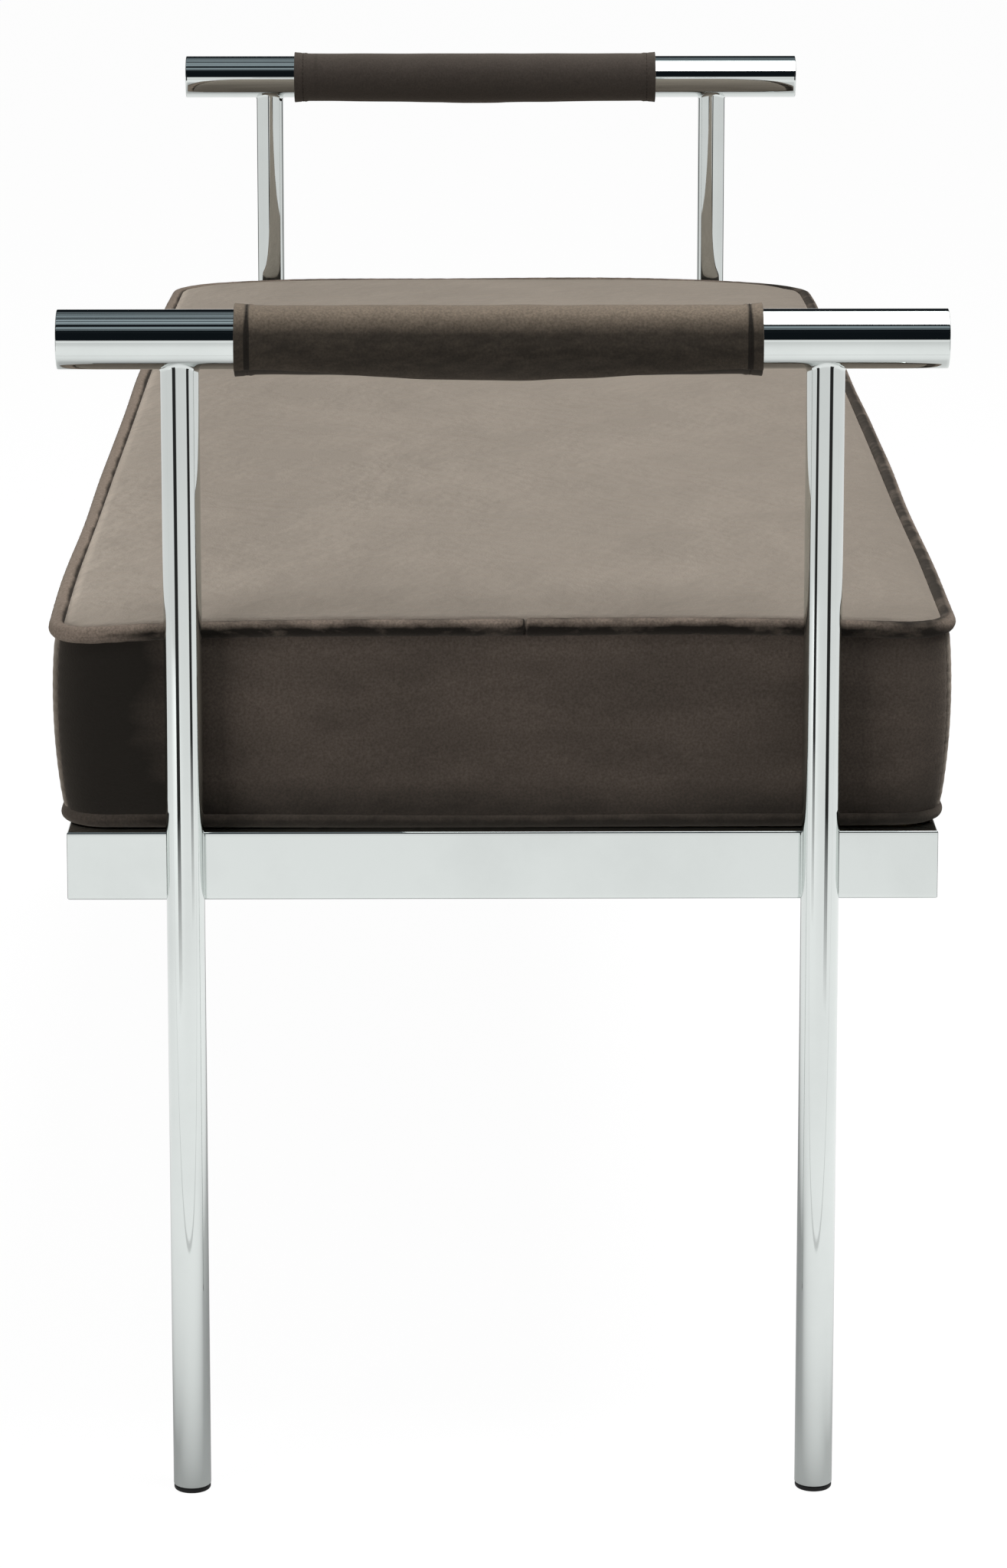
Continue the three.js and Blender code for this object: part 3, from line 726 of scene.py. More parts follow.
def make_floor():
    """Plain white floor: white to the camera with a faint shadow, in mirrors a fuller shadow, part cast and
    part painted, and a soft bounce."""
    material, tree = stage_material("floor_paint")
    rays = node(tree, "ShaderNodeLightPath").outputs
    mirror = sums(tree, "MAXIMUM", rays["Is Glossy Ray"], rays["Is Transmission Ray"])
    in_mirrors = painted(tree, mirrored_glow(tree), MIRRORED_PAINT)
    lit = mixed(tree, mirror, painted(tree, 0.0, FLOOR_BOUNCE), in_mirrors)
    shown = mixed(tree, rays["Is Camera Ray"], lit, painted(tree, FLOOR_GLOW, FLOOR_PAINT))
    tree.links.new(shown, tree.nodes["Material Output"].inputs["Surface"])
    profile = np.array([[0.0, 0.0], [2.0, 0.0], [FLOOR_RADIUS, 0.0]])
    on_stage("floor", lathe("floor", profile, (0, 0, FLOOR_LEVEL), (0, 0, 1)), material)


CARD_NEAR = np.array([0.58, 0.74])
CARD_FAR = np.array([0.80, 0.49])
CARD_FOOT = 0.05
CARD_FADE = 0.15
CARD_HEAD = 1.5
CARD_SHADE = 0.025
CARD_SOLID = 0.8
CARD_COLUMNS = 9


def make_cards():
    """Dark studio cards beside both ends of the bench, seen only in mirrors. Their near and far upright
    edges are given by the distance beyond the posts and out from the middle, and they fade out at their
    edges."""
    material, tree = stage_material("dark_card")
    across = node(tree, "ShaderNodeAttribute", attribute_name="across").outputs["Fac"]
    height = apart(tree, node(tree, "ShaderNodeTexCoord").outputs["Object"])["Z"]
    solid = between(tree, sums(tree, "ABSOLUTE", across), 1.0, CARD_SOLID)
    foot = between(tree, height, CARD_FOOT, CARD_FOOT + CARD_FADE)
    shade = node(tree, "ShaderNodeEmission", {"Strength": CARD_SHADE}).outputs[0]
    clear = node(tree, "ShaderNodeBsdfTransparent").outputs[0]
    shown = mixed(tree, sums(tree, "MULTIPLY", solid, foot), clear, shade)
    tree.links.new(shown, tree.nodes["Material Output"].inputs["Surface"])
    across = np.linspace(-1, 1, CARD_COLUMNS)
    flat = CARD_NEAR + (across[:, None] + 1) / 2 * (CARD_FAR - CARD_NEAR)
    for end, out in ENDS.items():
        for side, way in SIDES.items():
            spot = (flat + (abs(place(f"post_{end}_{side}")[2][0]), 0)) * (out, way)
            edges = [np.column_stack([spot, np.full(CARD_COLUMNS, z)]) for z in (CARD_FOOT, CARD_HEAD)]
            name = f"dark_card_{end}_{side}"
            mesh = surface(name, np.stack(edges), closed=False)
            shares = mesh.attributes.new("across", "FLOAT", "POINT")
            shares.data.foreach_set("value", np.tile(across, 2).astype(np.float32))
            card = on_stage(name, mesh, material)
            card.visible_camera = card.visible_diffuse = card.visible_shadow = False
            card.visible_transmission = False


# End frames


def top_bar(end):
    """Round tube along Y: outer wall, rounded rims and bore, turned round its axis."""
    low, high, middle = place(f"top_bar_{end}")
    radius, half = (high[2] - low[2]) / 2, (high[1] - low[1]) / 2
    bore = radius - BAR_WALL
    quarter = arc((radius - RIM_ROUND, half - RIM_ROUND), RIM_ROUND, 0, 90)
    wall = np.concatenate([[[radius, half - RIM_ROUND - EDGE_LOOP]], quarter, [[bore, half]]])
    profile = np.concatenate([wall[::-1] * (1, -1), wall])
    mesh = lathe(f"top_bar_{end}", np.concatenate([profile, profile[:1]]), middle, (0, 1, 0), BAR_SIDES)
    piece(f"top_bar_{end}_tube", mesh, chrome, "chrome", f"top_bar_{end}")


def end_plug(end, side):
    """Disc that closes a bar's end: a soft edge, a turned ring and a slightly domed middle."""
    name = f"bar_end_plug_{end}_{side}"
    low, high, middle = place(name)
    radius, depth = (high[2] - low[2]) / 2, high[1] - low[1]
    ring, half_ring, lip, soft = radius * 0.7, 0.5 * MM, depth - 0.1 * MM, 0.4 * MM
    face = np.array([[ring + half_ring, lip], [ring, depth - 0.4 * MM], [ring - half_ring, lip],
                     [radius * 0.35, depth], [0, depth]])
    edge = arc((radius - soft, depth - 0.5 * MM), soft, 0, 90, 4)
    profile = np.concatenate([[[0, 0], [radius, 0]], edge, face])
    way = SIDES[side]
    foot = (middle[0], low[1] if way > 0 else high[1], middle[2])
    piece(f"{name}_disc", lathe(name, profile, foot, (0, way, 0)), chrome, "chrome", name)


def post(end, side):
    """Round tube from a rounded foot to a saddle: its height at a bearing is where it meets the round bar,
    and it flares there by the weld's fillet."""
    name = f"post_{end}_{side}"
    low, high, middle = place(name)
    bar_low, bar_high, bar = place(f"top_bar_{end}")
    bar_radius, radius = (bar_high[2] - bar_low[2]) / 2, (high[1] - low[1]) / 2
    turn = np.linspace(0, 2 * np.pi, ROUND_SIDES, endpoint=False)
    rim = arc((radius - RIM_ROUND, low[2] + RIM_ROUND), RIM_ROUND, -90, 0, 5)
    climb = np.linspace(0, 1, 9)
    flare = radius + WELD_FILLET * 0.6 * (1 - np.sqrt(1 - climb ** 2))
    saddle = bar[2] - np.sqrt(bar_radius ** 2 - (flare[:, None] * np.cos(turn)) ** 2)
    head = saddle - WELD_FILLET * (1 - climb[:, None])
    rim = np.concatenate([rim, [[radius, low[2] + RIM_ROUND + EDGE_LOOP]]])
    reach = np.concatenate([[0, radius - 2 * RIM_ROUND], rim[:, 0], [radius], flare, [0]])
    level = np.concatenate([
        np.full((2, len(turn)), low[2]), np.repeat(rim[:, 1:], len(turn), axis=1),
        head[:1] - EDGE_LOOP, head, np.full((1, len(turn)), bar[2] - bar_radius)])
    across = reach[:, None]
    points = np.stack([middle[0] + across * np.cos(turn), middle[1] + across * np.sin(turn), level], axis=-1)
    piece(f"{name}_tube", surface(name, points, around=True), chrome, "chrome", name)


def foot_glide(end, side):
    """Black glide: flange with a rounded lower edge, and a plug with a lead-in up inside the post."""
    name = f"foot_glide_{end}_{side}"
    low, high, middle = place(name)
    radius = (high[1] - low[1]) / 2
    flange, plug, edge = 3 * MM, radius - 1.5 * MM, 1.4 * MM
    profile = np.concatenate([
        [[0, 0.3 * MM], [radius * 0.55, 0.3 * MM], [radius * 0.62, 0]],
        arc((radius - edge, edge), edge, -90, 0, 7),
        arc((radius - 0.3 * MM, flange - 0.3 * MM), 0.3 * MM, 0, 90, 4),
        [[plug, flange], [plug, high[2] - 2 * MM], [plug - 1.5 * MM, high[2]], [0, high[2]]]])
    piece(f"{name}_cap", lathe(name, profile, (middle[0], middle[1], 0), (0, 0, 1)),
          black_plastic, "black_plastic", name)


# Seat frame


def rounded_section(half_width, half_height, radius, steps=6):
    """Points round a rectangle with round corners, counter-clockwise, with one on the flat beside each end
    of a corner, which keeps the flat's shading level."""
    turn = np.radians(np.linspace(0, 90, steps)[None, :] + 90 * np.arange(4)[:, None])
    sign = np.array([[1, 1], [-1, 1], [-1, -1], [1, -1]])
    centre = sign * (half_width - radius, half_height - radius)
    corner = np.stack([centre[:, :1] + radius * np.cos(turn), centre[:, 1:] + radius * np.sin(turn)], -1)
    along = EDGE_LOOP * np.stack([-np.sin(turn), np.cos(turn)], -1)
    corner = np.concatenate([corner[:, :1] - along[:, :1], corner, corner[:, -1:] + along[:, -1:]], axis=1)
    return corner.reshape(-1, 2)


def box_tube(node_name, along, corner, mitred):
    """Rectangular tube along an axis. Where it is mitred, each end draws back by the distance in from the
    outer face."""
    low, high, middle = place(node_name)
    across = 1 - along
    half = (high - low) / 2
    section = rounded_section(half[across], half[2], corner)
    outward = 1 if middle[across] > 0 else -1
    inward = half[across] - outward * section[:, 0]
    reach = half[along] - (inward if mitred else 0 * inward)
    rings = []
    for sign, ring_reach, ring in ((-1, reach.mean(), 0 * section), (-1, reach, section), (1, reach, section),
                                   (1, reach.mean(), 0 * section)):
        points = np.zeros((len(section), 3))
        points[:, along] = sign * ring_reach
        points[:, across] = ring[:, 0]
        points[:, 2] = ring[:, 1]
        rings.append(points + middle)
    mesh = surface(node_name, np.stack(rings), around=True)
    piece(f"{node_name}_tube", mesh, chrome, "chrome", node_name)


def hexagon(turn, flats):
    """Radius of a hexagon of a width across flats at each bearing."""
    return flats / 2 / np.cos((turn + np.pi / 6) % (np.pi / 3) - np.pi / 6)


def post_bolt(end, side, level):
    """Button-head bolt: hexagonal socket, domed head and plain shank, as rings along its axis."""
    name = f"post_bolt_{end}_{side}_{level}"
    low, high, middle = place(name)
    way = ENDS[end]
    start = low[0] if way > 0 else high[0]
    length = high[0] - low[0]
    turn = np.linspace(0, 2 * np.pi, 36, endpoint=False)
    head, shank, thick = 6 * MM, 3 * MM, 4 * MM
    socket = hexagon(turn, 4 * MM)
    dome = arc((0, 0), 1, 62, 6, 6)
    rings = [(0 * turn, 2.4 * MM), (socket, 2.4 * MM), (socket, 0.15 * MM)]
    rings += [(0 * turn + head * r, thick * 0.8 * (1 - h)) for r, h in dome]
    rings += [(0 * turn + r, x) for r, x in ((head, thick), (shank, thick), (shank, length - 0.6 * MM),
                                             (shank - 0.6 * MM, length), (0, length))]
    points = np.stack([np.stack([np.full_like(turn, start + way * x), middle[1] + r * np.cos(turn),
                                 middle[2] + r * np.sin(turn)], -1) for r, x in rings])
    piece(f"{name}_body", surface(name, points, around=True), zinc_plate, "zinc_plate", name)


def board_screw(number, side):
    """Pan-head screw with a cross recess: the head's face is a dome of polar rings, sunk where a slot
    runs."""
    name = f"board_screw_{number}_{side}"
    low, high, middle = place(name)
    sides, length = 48, high[2] - low[2]
    turn = np.linspace(0, 2 * np.pi, sides, endpoint=False)[None, :]
    head, shank, thick = 5 * MM, 2.5 * MM, 3 * MM
    reach = np.linspace(0, head, 14)[:, None]
    x, y = reach * np.cos(turn), reach * np.sin(turn)
    narrow, long = np.minimum(abs(x), abs(y)), np.maximum(abs(x), abs(y))
    slot = smooth(narrow, 0.9 * MM, 0.5 * MM) * smooth(long, 3.1 * MM, 2.7 * MM)
    face = low[2] + 1.1 * MM * (reach / head) ** 4 + 1.5 * MM * slot
    shaft = np.array([[head, thick], [shank, thick], [shank, length - 2 * MM], [0, length]])
    radii = np.concatenate([np.repeat(reach, sides, 1), np.repeat(shaft[:, :1], sides, 1)])
    levels = np.concatenate([face, np.repeat(low[2] + shaft[:, 1:], sides, 1)])
    points = np.stack([middle[0] + radii * np.cos(turn), middle[1] + radii * np.sin(turn), levels], -1)
    piece(f"{name}_body", surface(name, points, around=True), zinc_plate, "zinc_plate", name)


# Cushion


def outline(half, radius, distance):
    """Points and outward normals at distances round a rectangle with round corners, from the middle of its
    +X side towards +Y."""
    steps = 31
    turn = np.radians(np.linspace(0, 90, steps)[None, :] + 90 * np.arange(4)[:, None])
    sign = np.array([[1, 1], [-1, 1], [-1, -1], [1, -1]])
    centre = sign * (half - radius)
    normal = np.stack([np.cos(turn), np.sin(turn)], -1).reshape(-1, 2)
    corner = np.repeat(centre, steps, axis=0) + radius * normal
    start = np.array([[half[0], 0.0]])
    points = np.concatenate([start, corner, start])
    normal = np.concatenate([[[1, 0]], normal, [[1, 0]]])
    run = np.concatenate([[0], np.cumsum(np.linalg.norm(np.diff(points, axis=0), axis=1))])
    at = np.mod(distance, run[-1])
    spot = np.stack([np.interp(at, run, points[:, i]) for i in (0, 1)], -1)
    facing = np.stack([np.interp(at, run, normal[:, i]) for i in (0, 1)], -1)
    return spot, facing / np.linalg.norm(facing, axis=-1, keepdims=True)


top_low, top_high, _ = place("top_piping")
foot_low, foot_high, foot_middle = place("bottom_piping")
PIPING_RADIUS = 4.5 * MM
FOOT_RADIUS = (foot_high[2] - foot_low[2]) / 2
SEAM_HALF = (top_high - top_low)[:2] / 2 - PIPING_RADIUS
SEAM_LEVEL = top_high[2] - PIPING_RADIUS
FOOT_HALF = (foot_high - foot_low)[:2] / 2 - FOOT_RADIUS
FOOT_LEVEL = foot_middle[2]
SEAM_CORNER = 29.5 * MM
FOOT_CORNER = SEAM_CORNER - (SEAM_HALF - FOOT_HALF)[0]
SEAM_TURN = 0.75
QUARTER = SEAM_CORNER * np.pi / 2
END_RUN = 2 * (SEAM_HALF[1] - SEAM_CORNER + QUARTER * SEAM_TURN)
SIDE_RUN = 2 * (SEAM_HALF[0] - SEAM_CORNER + QUARTER * (1 - SEAM_TURN))
SEAM_RUN = 2 * (END_RUN + SIDE_RUN)


def waves(distance, run, seed, height, longest, shortest, count=24):
    """Seeded sum of sines that closes after a run, with wavelengths between two lengths."""
    draw = np.random.default_rng(seed)
    number = np.round(run / np.exp(draw.uniform(np.log(shortest), np.log(longest), count)))
    phase = draw.uniform(0, 2 * np.pi, count)
    weight = draw.uniform(0.4, 1.0, count)
    angle = 2 * np.pi * distance[..., None] * number / run + phase
    return height * (np.sin(angle) * weight).sum(-1) / np.sqrt((weight ** 2).sum() / 2)


def droop(x, y):
    """How far the seam hangs below its highest level: each corner's own droop, fading as the fourth
    powers."""
    near = np.where(x > 0, 1, -1), np.where(y > 0, 1, -1)
    amount = sum(depth * (near[0] == i) * (near[1] == j) for (i, j), depth in CORNER_DROOP.items())
    return amount * (x / SEAM_HALF[0]) ** 4 * (y / SEAM_HALF[1]) ** 4


def piping(name, half, corner, level, radius, seed, material, node_name, joint, sag):
    """Round cord along the outline of a seam: a circle carried along it, slightly wavy and puckered,
    pinched where its two ends meet."""
    run = 4 * (half.sum() - 2 * corner) + 2 * np.pi * corner
    distance = graded(run, CORD_STEP, 0.25 * MM)[:-1]
    spot, facing = outline(half, corner, distance + joint)
    swing = waves(distance, run, seed, *CORD_SWING)
    lift = waves(distance, run, seed + 1, *CORD_LIFT)
    near_joint = np.minimum(distance, run - distance)
    fuller = 1 + JOINT_STEP * np.exp(-distance / JOINT_REACH)
    pinch = fuller * (1 - JOINT_PINCH * np.exp(-(near_joint / JOINT_NIP) ** 2))
    pucker = 1 + waves(distance, run, seed + 2, *CORD_PUCKER)
    turn = np.linspace(0, 2 * np.pi, CORD_SIDES, endpoint=False)
    reach = radius * (pinch * pucker)[:, None]
    out = swing[:, None] + reach * np.cos(turn)
    height = level + lift[:, None] + reach * np.sin(turn)
    if sag:
        height = height - droop(spot[:, 0], spot[:, 1])[:, None]
    points = np.concatenate([spot[:, None] + out[..., None] * facing[:, None], height[..., None]], axis=-1)
    piece(name, surface(name, points, around=True, along=True), material, "velvet", node_name)


def graded(run, step, fine, growth=1.35):
    """Odd count of positions from 0 to a run: a fine step apart at both ends, growing to a step in the
    middle."""
    gap, at = fine, [0.0]
    while gap < step:
        at.append(at[-1] + gap)
        gap *= growth
    edge = np.array(at)
    count = 2 * int(round((run - 2 * edge[-1]) / step / 2))
    inner = np.linspace(edge[-1], run - edge[-1], count + 1)
    return np.concatenate([edge[:-1], inner, run - edge[-2::-1]])


def round_off(x, y, half, radius, block):
    """Draws the corners of a grid on a rectangle in to a radius: each point of a corner block moves along
    the line from the block's inner corner, by the share that the line falls short of the square corner."""
    p = np.clip((abs(x) - half[0]) / block + 1, 0, None)
    q = np.clip((abs(y) - half[1]) / block + 1, 0, None)
    long, short = np.maximum(p, q), np.minimum(p, q)
    slope = short / np.maximum(long, 1e-9)
    centre = 1 - radius / block
    inner = (centre * (1 + slope)) ** 2 - (1 + slope ** 2) * (2 * centre ** 2 - (1 - centre) ** 2)
    share = (centre * (1 + slope) + np.sqrt(np.maximum(inner, 0))) / (1 + slope ** 2)
    share = np.where((slope > centre) & (short > 0), share, 1.0)
    draw = 1 - (1 - share) * long ** 2
    corner = short > 0
    new_x = np.sign(x) * np.where(corner, half[0] + (p * draw - 1) * block, abs(x))
    new_y = np.sign(y) * np.where(corner, half[1] + (q * draw - 1) * block, abs(y))
    return new_x, new_y


def crown(x, y):
    """Level of the top: it swells up beside the piping and then crowns, each as one less the decay with the
    distance in, both ways."""
    inset = SEAM_HALF[0] - abs(x), SEAM_HALF[1] - abs(y)
    swell = (1 - np.exp(-inset[0] / EDGE_REACH)) * (1 - np.exp(-inset[1] / EDGE_REACH))
    rise = (1 - np.exp(-inset[0] / CROWN_REACH)) * (1 - np.exp(-inset[1] / CROWN_REACH))
    return SEAM_LEVEL - droop(x, y) - SEAM_SINK + EDGE_PLUMP * swell + CROWN_RISE * rise


def top_cloth():
    """Top panel: a grid over the seam's rectangle at the crown's level, creased beside the piping, its
    corners drawn in to the seam's radius."""
    x = graded(2 * SEAM_HALF[0], 5 * MM, 1.3 * MM, 1.22) - SEAM_HALF[0]
    y = graded(2 * SEAM_HALF[1], 5 * MM, 1.3 * MM, 1.22) - SEAM_HALF[1]
    x, y = np.meshgrid(x, y, indexing="ij")
    inset = np.minimum(SEAM_HALF[0] - abs(x), SEAM_HALF[1] - abs(y))
    off_crease = (inset - CREASE_SHARE * PIPING_RADIUS) / CREASE_WIDTH
    level = crown(x, y) - SEAM_CREASE * np.exp(-off_crease ** 2)
    x, y = round_off(x, y, SEAM_HALF, SEAM_CORNER, CORNER_BLOCK)
    return np.stack([x, y, level], -1)


def band_cloth(start, run, seed):
    """Side band: down the height it leans in, bellies out at half height and tucks in under both pipings;
    along it, it dips into its end seams, where stitches pucker it."""
    distance = graded(run, 5 * MM, 1.0 * MM)
    spot, facing = outline(SEAM_HALF, SEAM_CORNER, start + distance)
    head = SEAM_LEVEL - droop(spot[:, 0], spot[:, 1]) - BAND_HEAD
    foot = FOOT_LEVEL + BAND_FOOT
    down = np.linspace(0, 1, BAND_ROWS)[None, :]
    level = head[:, None] + (foot - head)[:, None] * down
    height = (head - foot)[:, None]
    out = SIDE_LIP + (-SIDE_TUCK - SIDE_LIP) * down + SIDE_BULGE * 4 * down * (1 - down)
    out = out - HEAD_TUCK * np.exp(-down * height / TUCK_REACH)
    out = out - FOOT_TUCK * np.exp(-(1 - down) * height / TUCK_REACH)
    edge = np.minimum(distance, run - distance)[:, None]
    draw = np.random.default_rng(seed)
    beat = 2 * np.pi * level / SEAM_PITCH + draw.uniform(0, 6) + 1.2 * np.sin(level / PITCH_DRIFT)
    out = out - SEAM_DIP * np.exp(-edge / SEAM_DIP_REACH)
    out = out + SEAM_PUCKER * np.sin(beat) * np.exp(-edge / PUCKER_REACH)
    return np.concatenate([spot[:, None] + out[..., None] * facing[:, None], level[..., None]], axis=-1)


BANDS = {
    "end_band_a": (-END_RUN / 2, END_RUN), "side_band_right": (END_RUN / 2, SIDE_RUN),
    "end_band_b": (END_RUN / 2 + SIDE_RUN, END_RUN), "side_band_left": (END_RUN * 1.5 + SIDE_RUN, SIDE_RUN),
}
SPARE_CLOTH = 0.006
FOAM_HOLD = 0.45
CLOTH_FRAMES = 20
MOST_MOVED = 3.0 * MM
EASE_PASSES = 12


def border(shape):
    """1 on the edge of a grid and the foam's hold inside it."""
    held = np.full(shape, FOAM_HOLD)
    held[[0, -1]] = 1
    held[:, [0, -1]] = 1
    return held


def doubled(values, axis):
    """Grid of values made twice as fine along an axis, by the spline rule of eighths and halves."""
    values = np.moveaxis(values, axis, 0)
    kept = values.copy()
    kept[1:-1] = (values[:-2] + 6 * values[1:-1] + values[2:]) / 8
    fine = np.empty((2 * len(values) - 1, *values.shape[1:]))
    fine[::2] = kept
    fine[1::2] = (values[:-1] + values[1:]) / 2
    return np.moveaxis(fine, 0, axis)


def eased(shift):
    """Shift of a grid's points without its small ripples: each pass weighs a point and its neighbours one,
    two, one both ways, and the seams stay."""
    for axis in [0, 1] * EASE_PASSES:
        rows = np.moveaxis(shift, axis, 0)
        rows[1:-1] = (rows[:-2] + 2 * rows[1:-1] + rows[2:]) / 4
    return shift


def settled(cloths):
    """The panels after a cloth simulation: each is pinned at its seams, held softly by the foam, has a
    little spare cloth and is blown outwards. It runs on every second row and column, no point moves further
    than a limit, and small ripples are eased away."""
    coarse = [cloth[::2, ::2] for cloth in cloths]
    points = np.concatenate([grid.reshape(-1, 3) for grid in coarse])
    quads, count = [], 0
    for grid in coarse:
        quads.append(grid_quads(*grid.shape[:2], False, False) + count)
        count += grid.shape[0] * grid.shape[1]
    mesh = bpy.data.meshes.new("cover_blank")
    mesh.from_pydata(points.tolist(), [], np.concatenate(quads).tolist())
    blank = bpy.data.objects.new("cover_blank", mesh)
    bpy.context.collection.objects.link(blank)
    held = np.concatenate([border(grid.shape[:2]).ravel() for grid in coarse])
    pins = blank.vertex_groups.new(name="seams")
    for weight in (FOAM_HOLD, 1):
        pins.add(np.flatnonzero(held == weight).tolist(), weight, "REPLACE")
    cloth = blank.modifiers.new("cloth", "CLOTH")
    facts = cloth.settings
    facts.quality, facts.mass = 6, 0.02
    facts.tension_stiffness = facts.compression_stiffness = 18.0
    facts.shear_stiffness, facts.bending_stiffness = 6.0, 0.15
    facts.use_pressure, facts.uniform_pressure_force = True, 4.0
    facts.vertex_group_mass, facts.pin_stiffness = "seams", 0.6
    facts.shrink_min = -SPARE_CLOTH
    facts.effector_weights.gravity = 0
    cloth.collision_settings.use_collision = False
    cloth.point_cache.frame_start, cloth.point_cache.frame_end = 1, CLOTH_FRAMES
    scene = bpy.context.scene
    for number in range(1, CLOTH_FRAMES + 1):
        scene.frame_set(number)
    shaped = blank.evaluated_get(bpy.context.evaluated_depsgraph_get()).to_mesh()
    moved = np.empty(len(points) * 3, np.float32)
    shaped.vertices.foreach_get("co", moved)
    scene.frame_set(1)
    bpy.data.objects.remove(blank)
    shift = moved.reshape(-1, 3) - points
    size = np.linalg.norm(shift, axis=1, keepdims=True)
    shift *= MOST_MOVED * np.tanh(size / MOST_MOVED) / np.maximum(size, 1e-9)
    result, start = [], 0
    for cloth_grid, grid in zip(cloths, coarse):
        count = grid.shape[0] * grid.shape[1]
        part = eased(shift[start:start + count].reshape(grid.shape))
        result.append(cloth_grid + doubled(doubled(part, 0), 1))
        start += count
    return result


def panel(name, cloth, material, *nodes):
    """Panel of the cover: the cloth's outer face, thickened inwards."""
    made = piece(name, surface(name, cloth, closed=False), material, "velvet", *nodes)
    wall = made.modifiers.new("wall", "SOLIDIFY")
    wall.thickness, wall.offset = COVER_THICKNESS, -1


def facing_out(cloth, centre):
    """The cloth with its columns turned round if its faces would point to the centre."""
    row, column = cloth.shape[0] // 2, cloth.shape[1] // 2
    middle = cloth[row, column]
    beside = cloth[row, column + 1] - middle
    below = cloth[row + 1, column] - middle
    return cloth if np.dot(np.cross(beside, below), middle - centre) > 0 else cloth[:, ::-1]


def cushion():
    """Top panel, four bands, two pipings and the foam inside."""
    cloths = [top_cloth()]
    cloths += [band_cloth(start, run, 11 + i) for i, (start, run) in enumerate(BANDS.values())]
    centre = np.array([0, 0, (SEAM_LEVEL + FOOT_LEVEL) / 2])
    cloths = [facing_out(cloth, centre) for cloth in cloths]
    cloths = settled(cloths)
    panel("cushion_top_panel", cloths[0], seat_velvet, "top_panel")
    for name, cloth in zip(BANDS, cloths[1:]):
        panel(f"cushion_{name}", cloth, band_velvet if name.startswith("end") else seat_velvet, name)
    piping("cushion_top_piping", SEAM_HALF, SEAM_CORNER, SEAM_LEVEL, PIPING_RADIUS + PILE_HEIGHT, 31,
           piping_velvet, "top_piping", PIPING_JOINT, True)
    piping("cushion_bottom_piping", FOOT_HALF, FOOT_CORNER, FOOT_LEVEL, FOOT_RADIUS, 41,
           bottom_piping_velvet, "bottom_piping", SEAM_RUN / 2, False)
    foam_block()


def foam_block():
    """Foam inside the cover: the seam's outline drawn in by a distance, ring by ring, up the sides from the
    board and then in under the crown to the middle."""
    low = place("seat_foam")[0]
    spot, _ = outline(SEAM_HALF, SEAM_CORNER, np.linspace(0, SEAM_RUN, 240, endpoint=False))
    sides = [(SEAM_HALF, 0.0), (10 * MM, 0.0), (8 * MM, 10 * MM), (6 * MM, 50 * MM), (7.5 * MM, 92 * MM)]
    rings = []
    for inset, up in sides:
        rings.append(np.column_stack([spot * (1 - inset / SEAM_HALF), np.full(len(spot), low[2] + up)]))
    for inset in (14 * MM, 30 * MM, 60 * MM, 120 * MM, SEAM_HALF):
        ring = spot * (1 - inset / SEAM_HALF)
        rings.append(np.column_stack([ring, crown(ring[:, 0], ring[:, 1]) - FOAM_CLEARANCE]))
    mesh = surface("cushion_foam", np.stack(rings), around=True)
    made = piece("cushion_foam", mesh, foam, "foam", "seat_foam")


def dust_cover():
    """Bonded cloth under the board: flat over the rails and braces, and sagging a little in each bay
    between."""
    low, high, _ = place("dust_cover")
    x = np.linspace(low[0], high[0], 161)[:, None]
    y = np.linspace(low[1], high[1], 61)[None, :]
    rail_high = place("side_rail_right")[0][1]
    bays = sorted(place(f"cross_brace_{i}")[2][0] for i in CROSS_BRACES)
    ends = [-place("end_rail_a")[0][0], *bays, place("end_rail_a")[0][0]]
    bay = sum(np.sin(np.pi * np.clip((x - a) / (b - a), 0, 1)) ** 2 for a, b in zip(ends, ends[1:]))
    sag = DUST_COVER_SAG * bay * np.cos(np.pi / 2 * np.clip(y / rail_high, -1, 1)) ** 2
    x, y = np.broadcast_arrays(x, y)
    under = np.stack([x, y, low[2] - sag], -1)
    over = np.stack([x, y, high[2] - sag], -1)
    points = np.concatenate([over, under[:, ::-1]], axis=1)
    caps = np.concatenate([points[:1], points, points[-1:]])
    caps[[0, -1], :, 2] = (caps[[0, -1], :, 2] + caps[[0, -1], ::-1, 2]) / 2
    mesh = surface("dust_cover_cloth", caps, around=True)
    made = piece("dust_cover_cloth", mesh, dust_cloth, "dust_cloth", "dust_cover")


# Sleeves


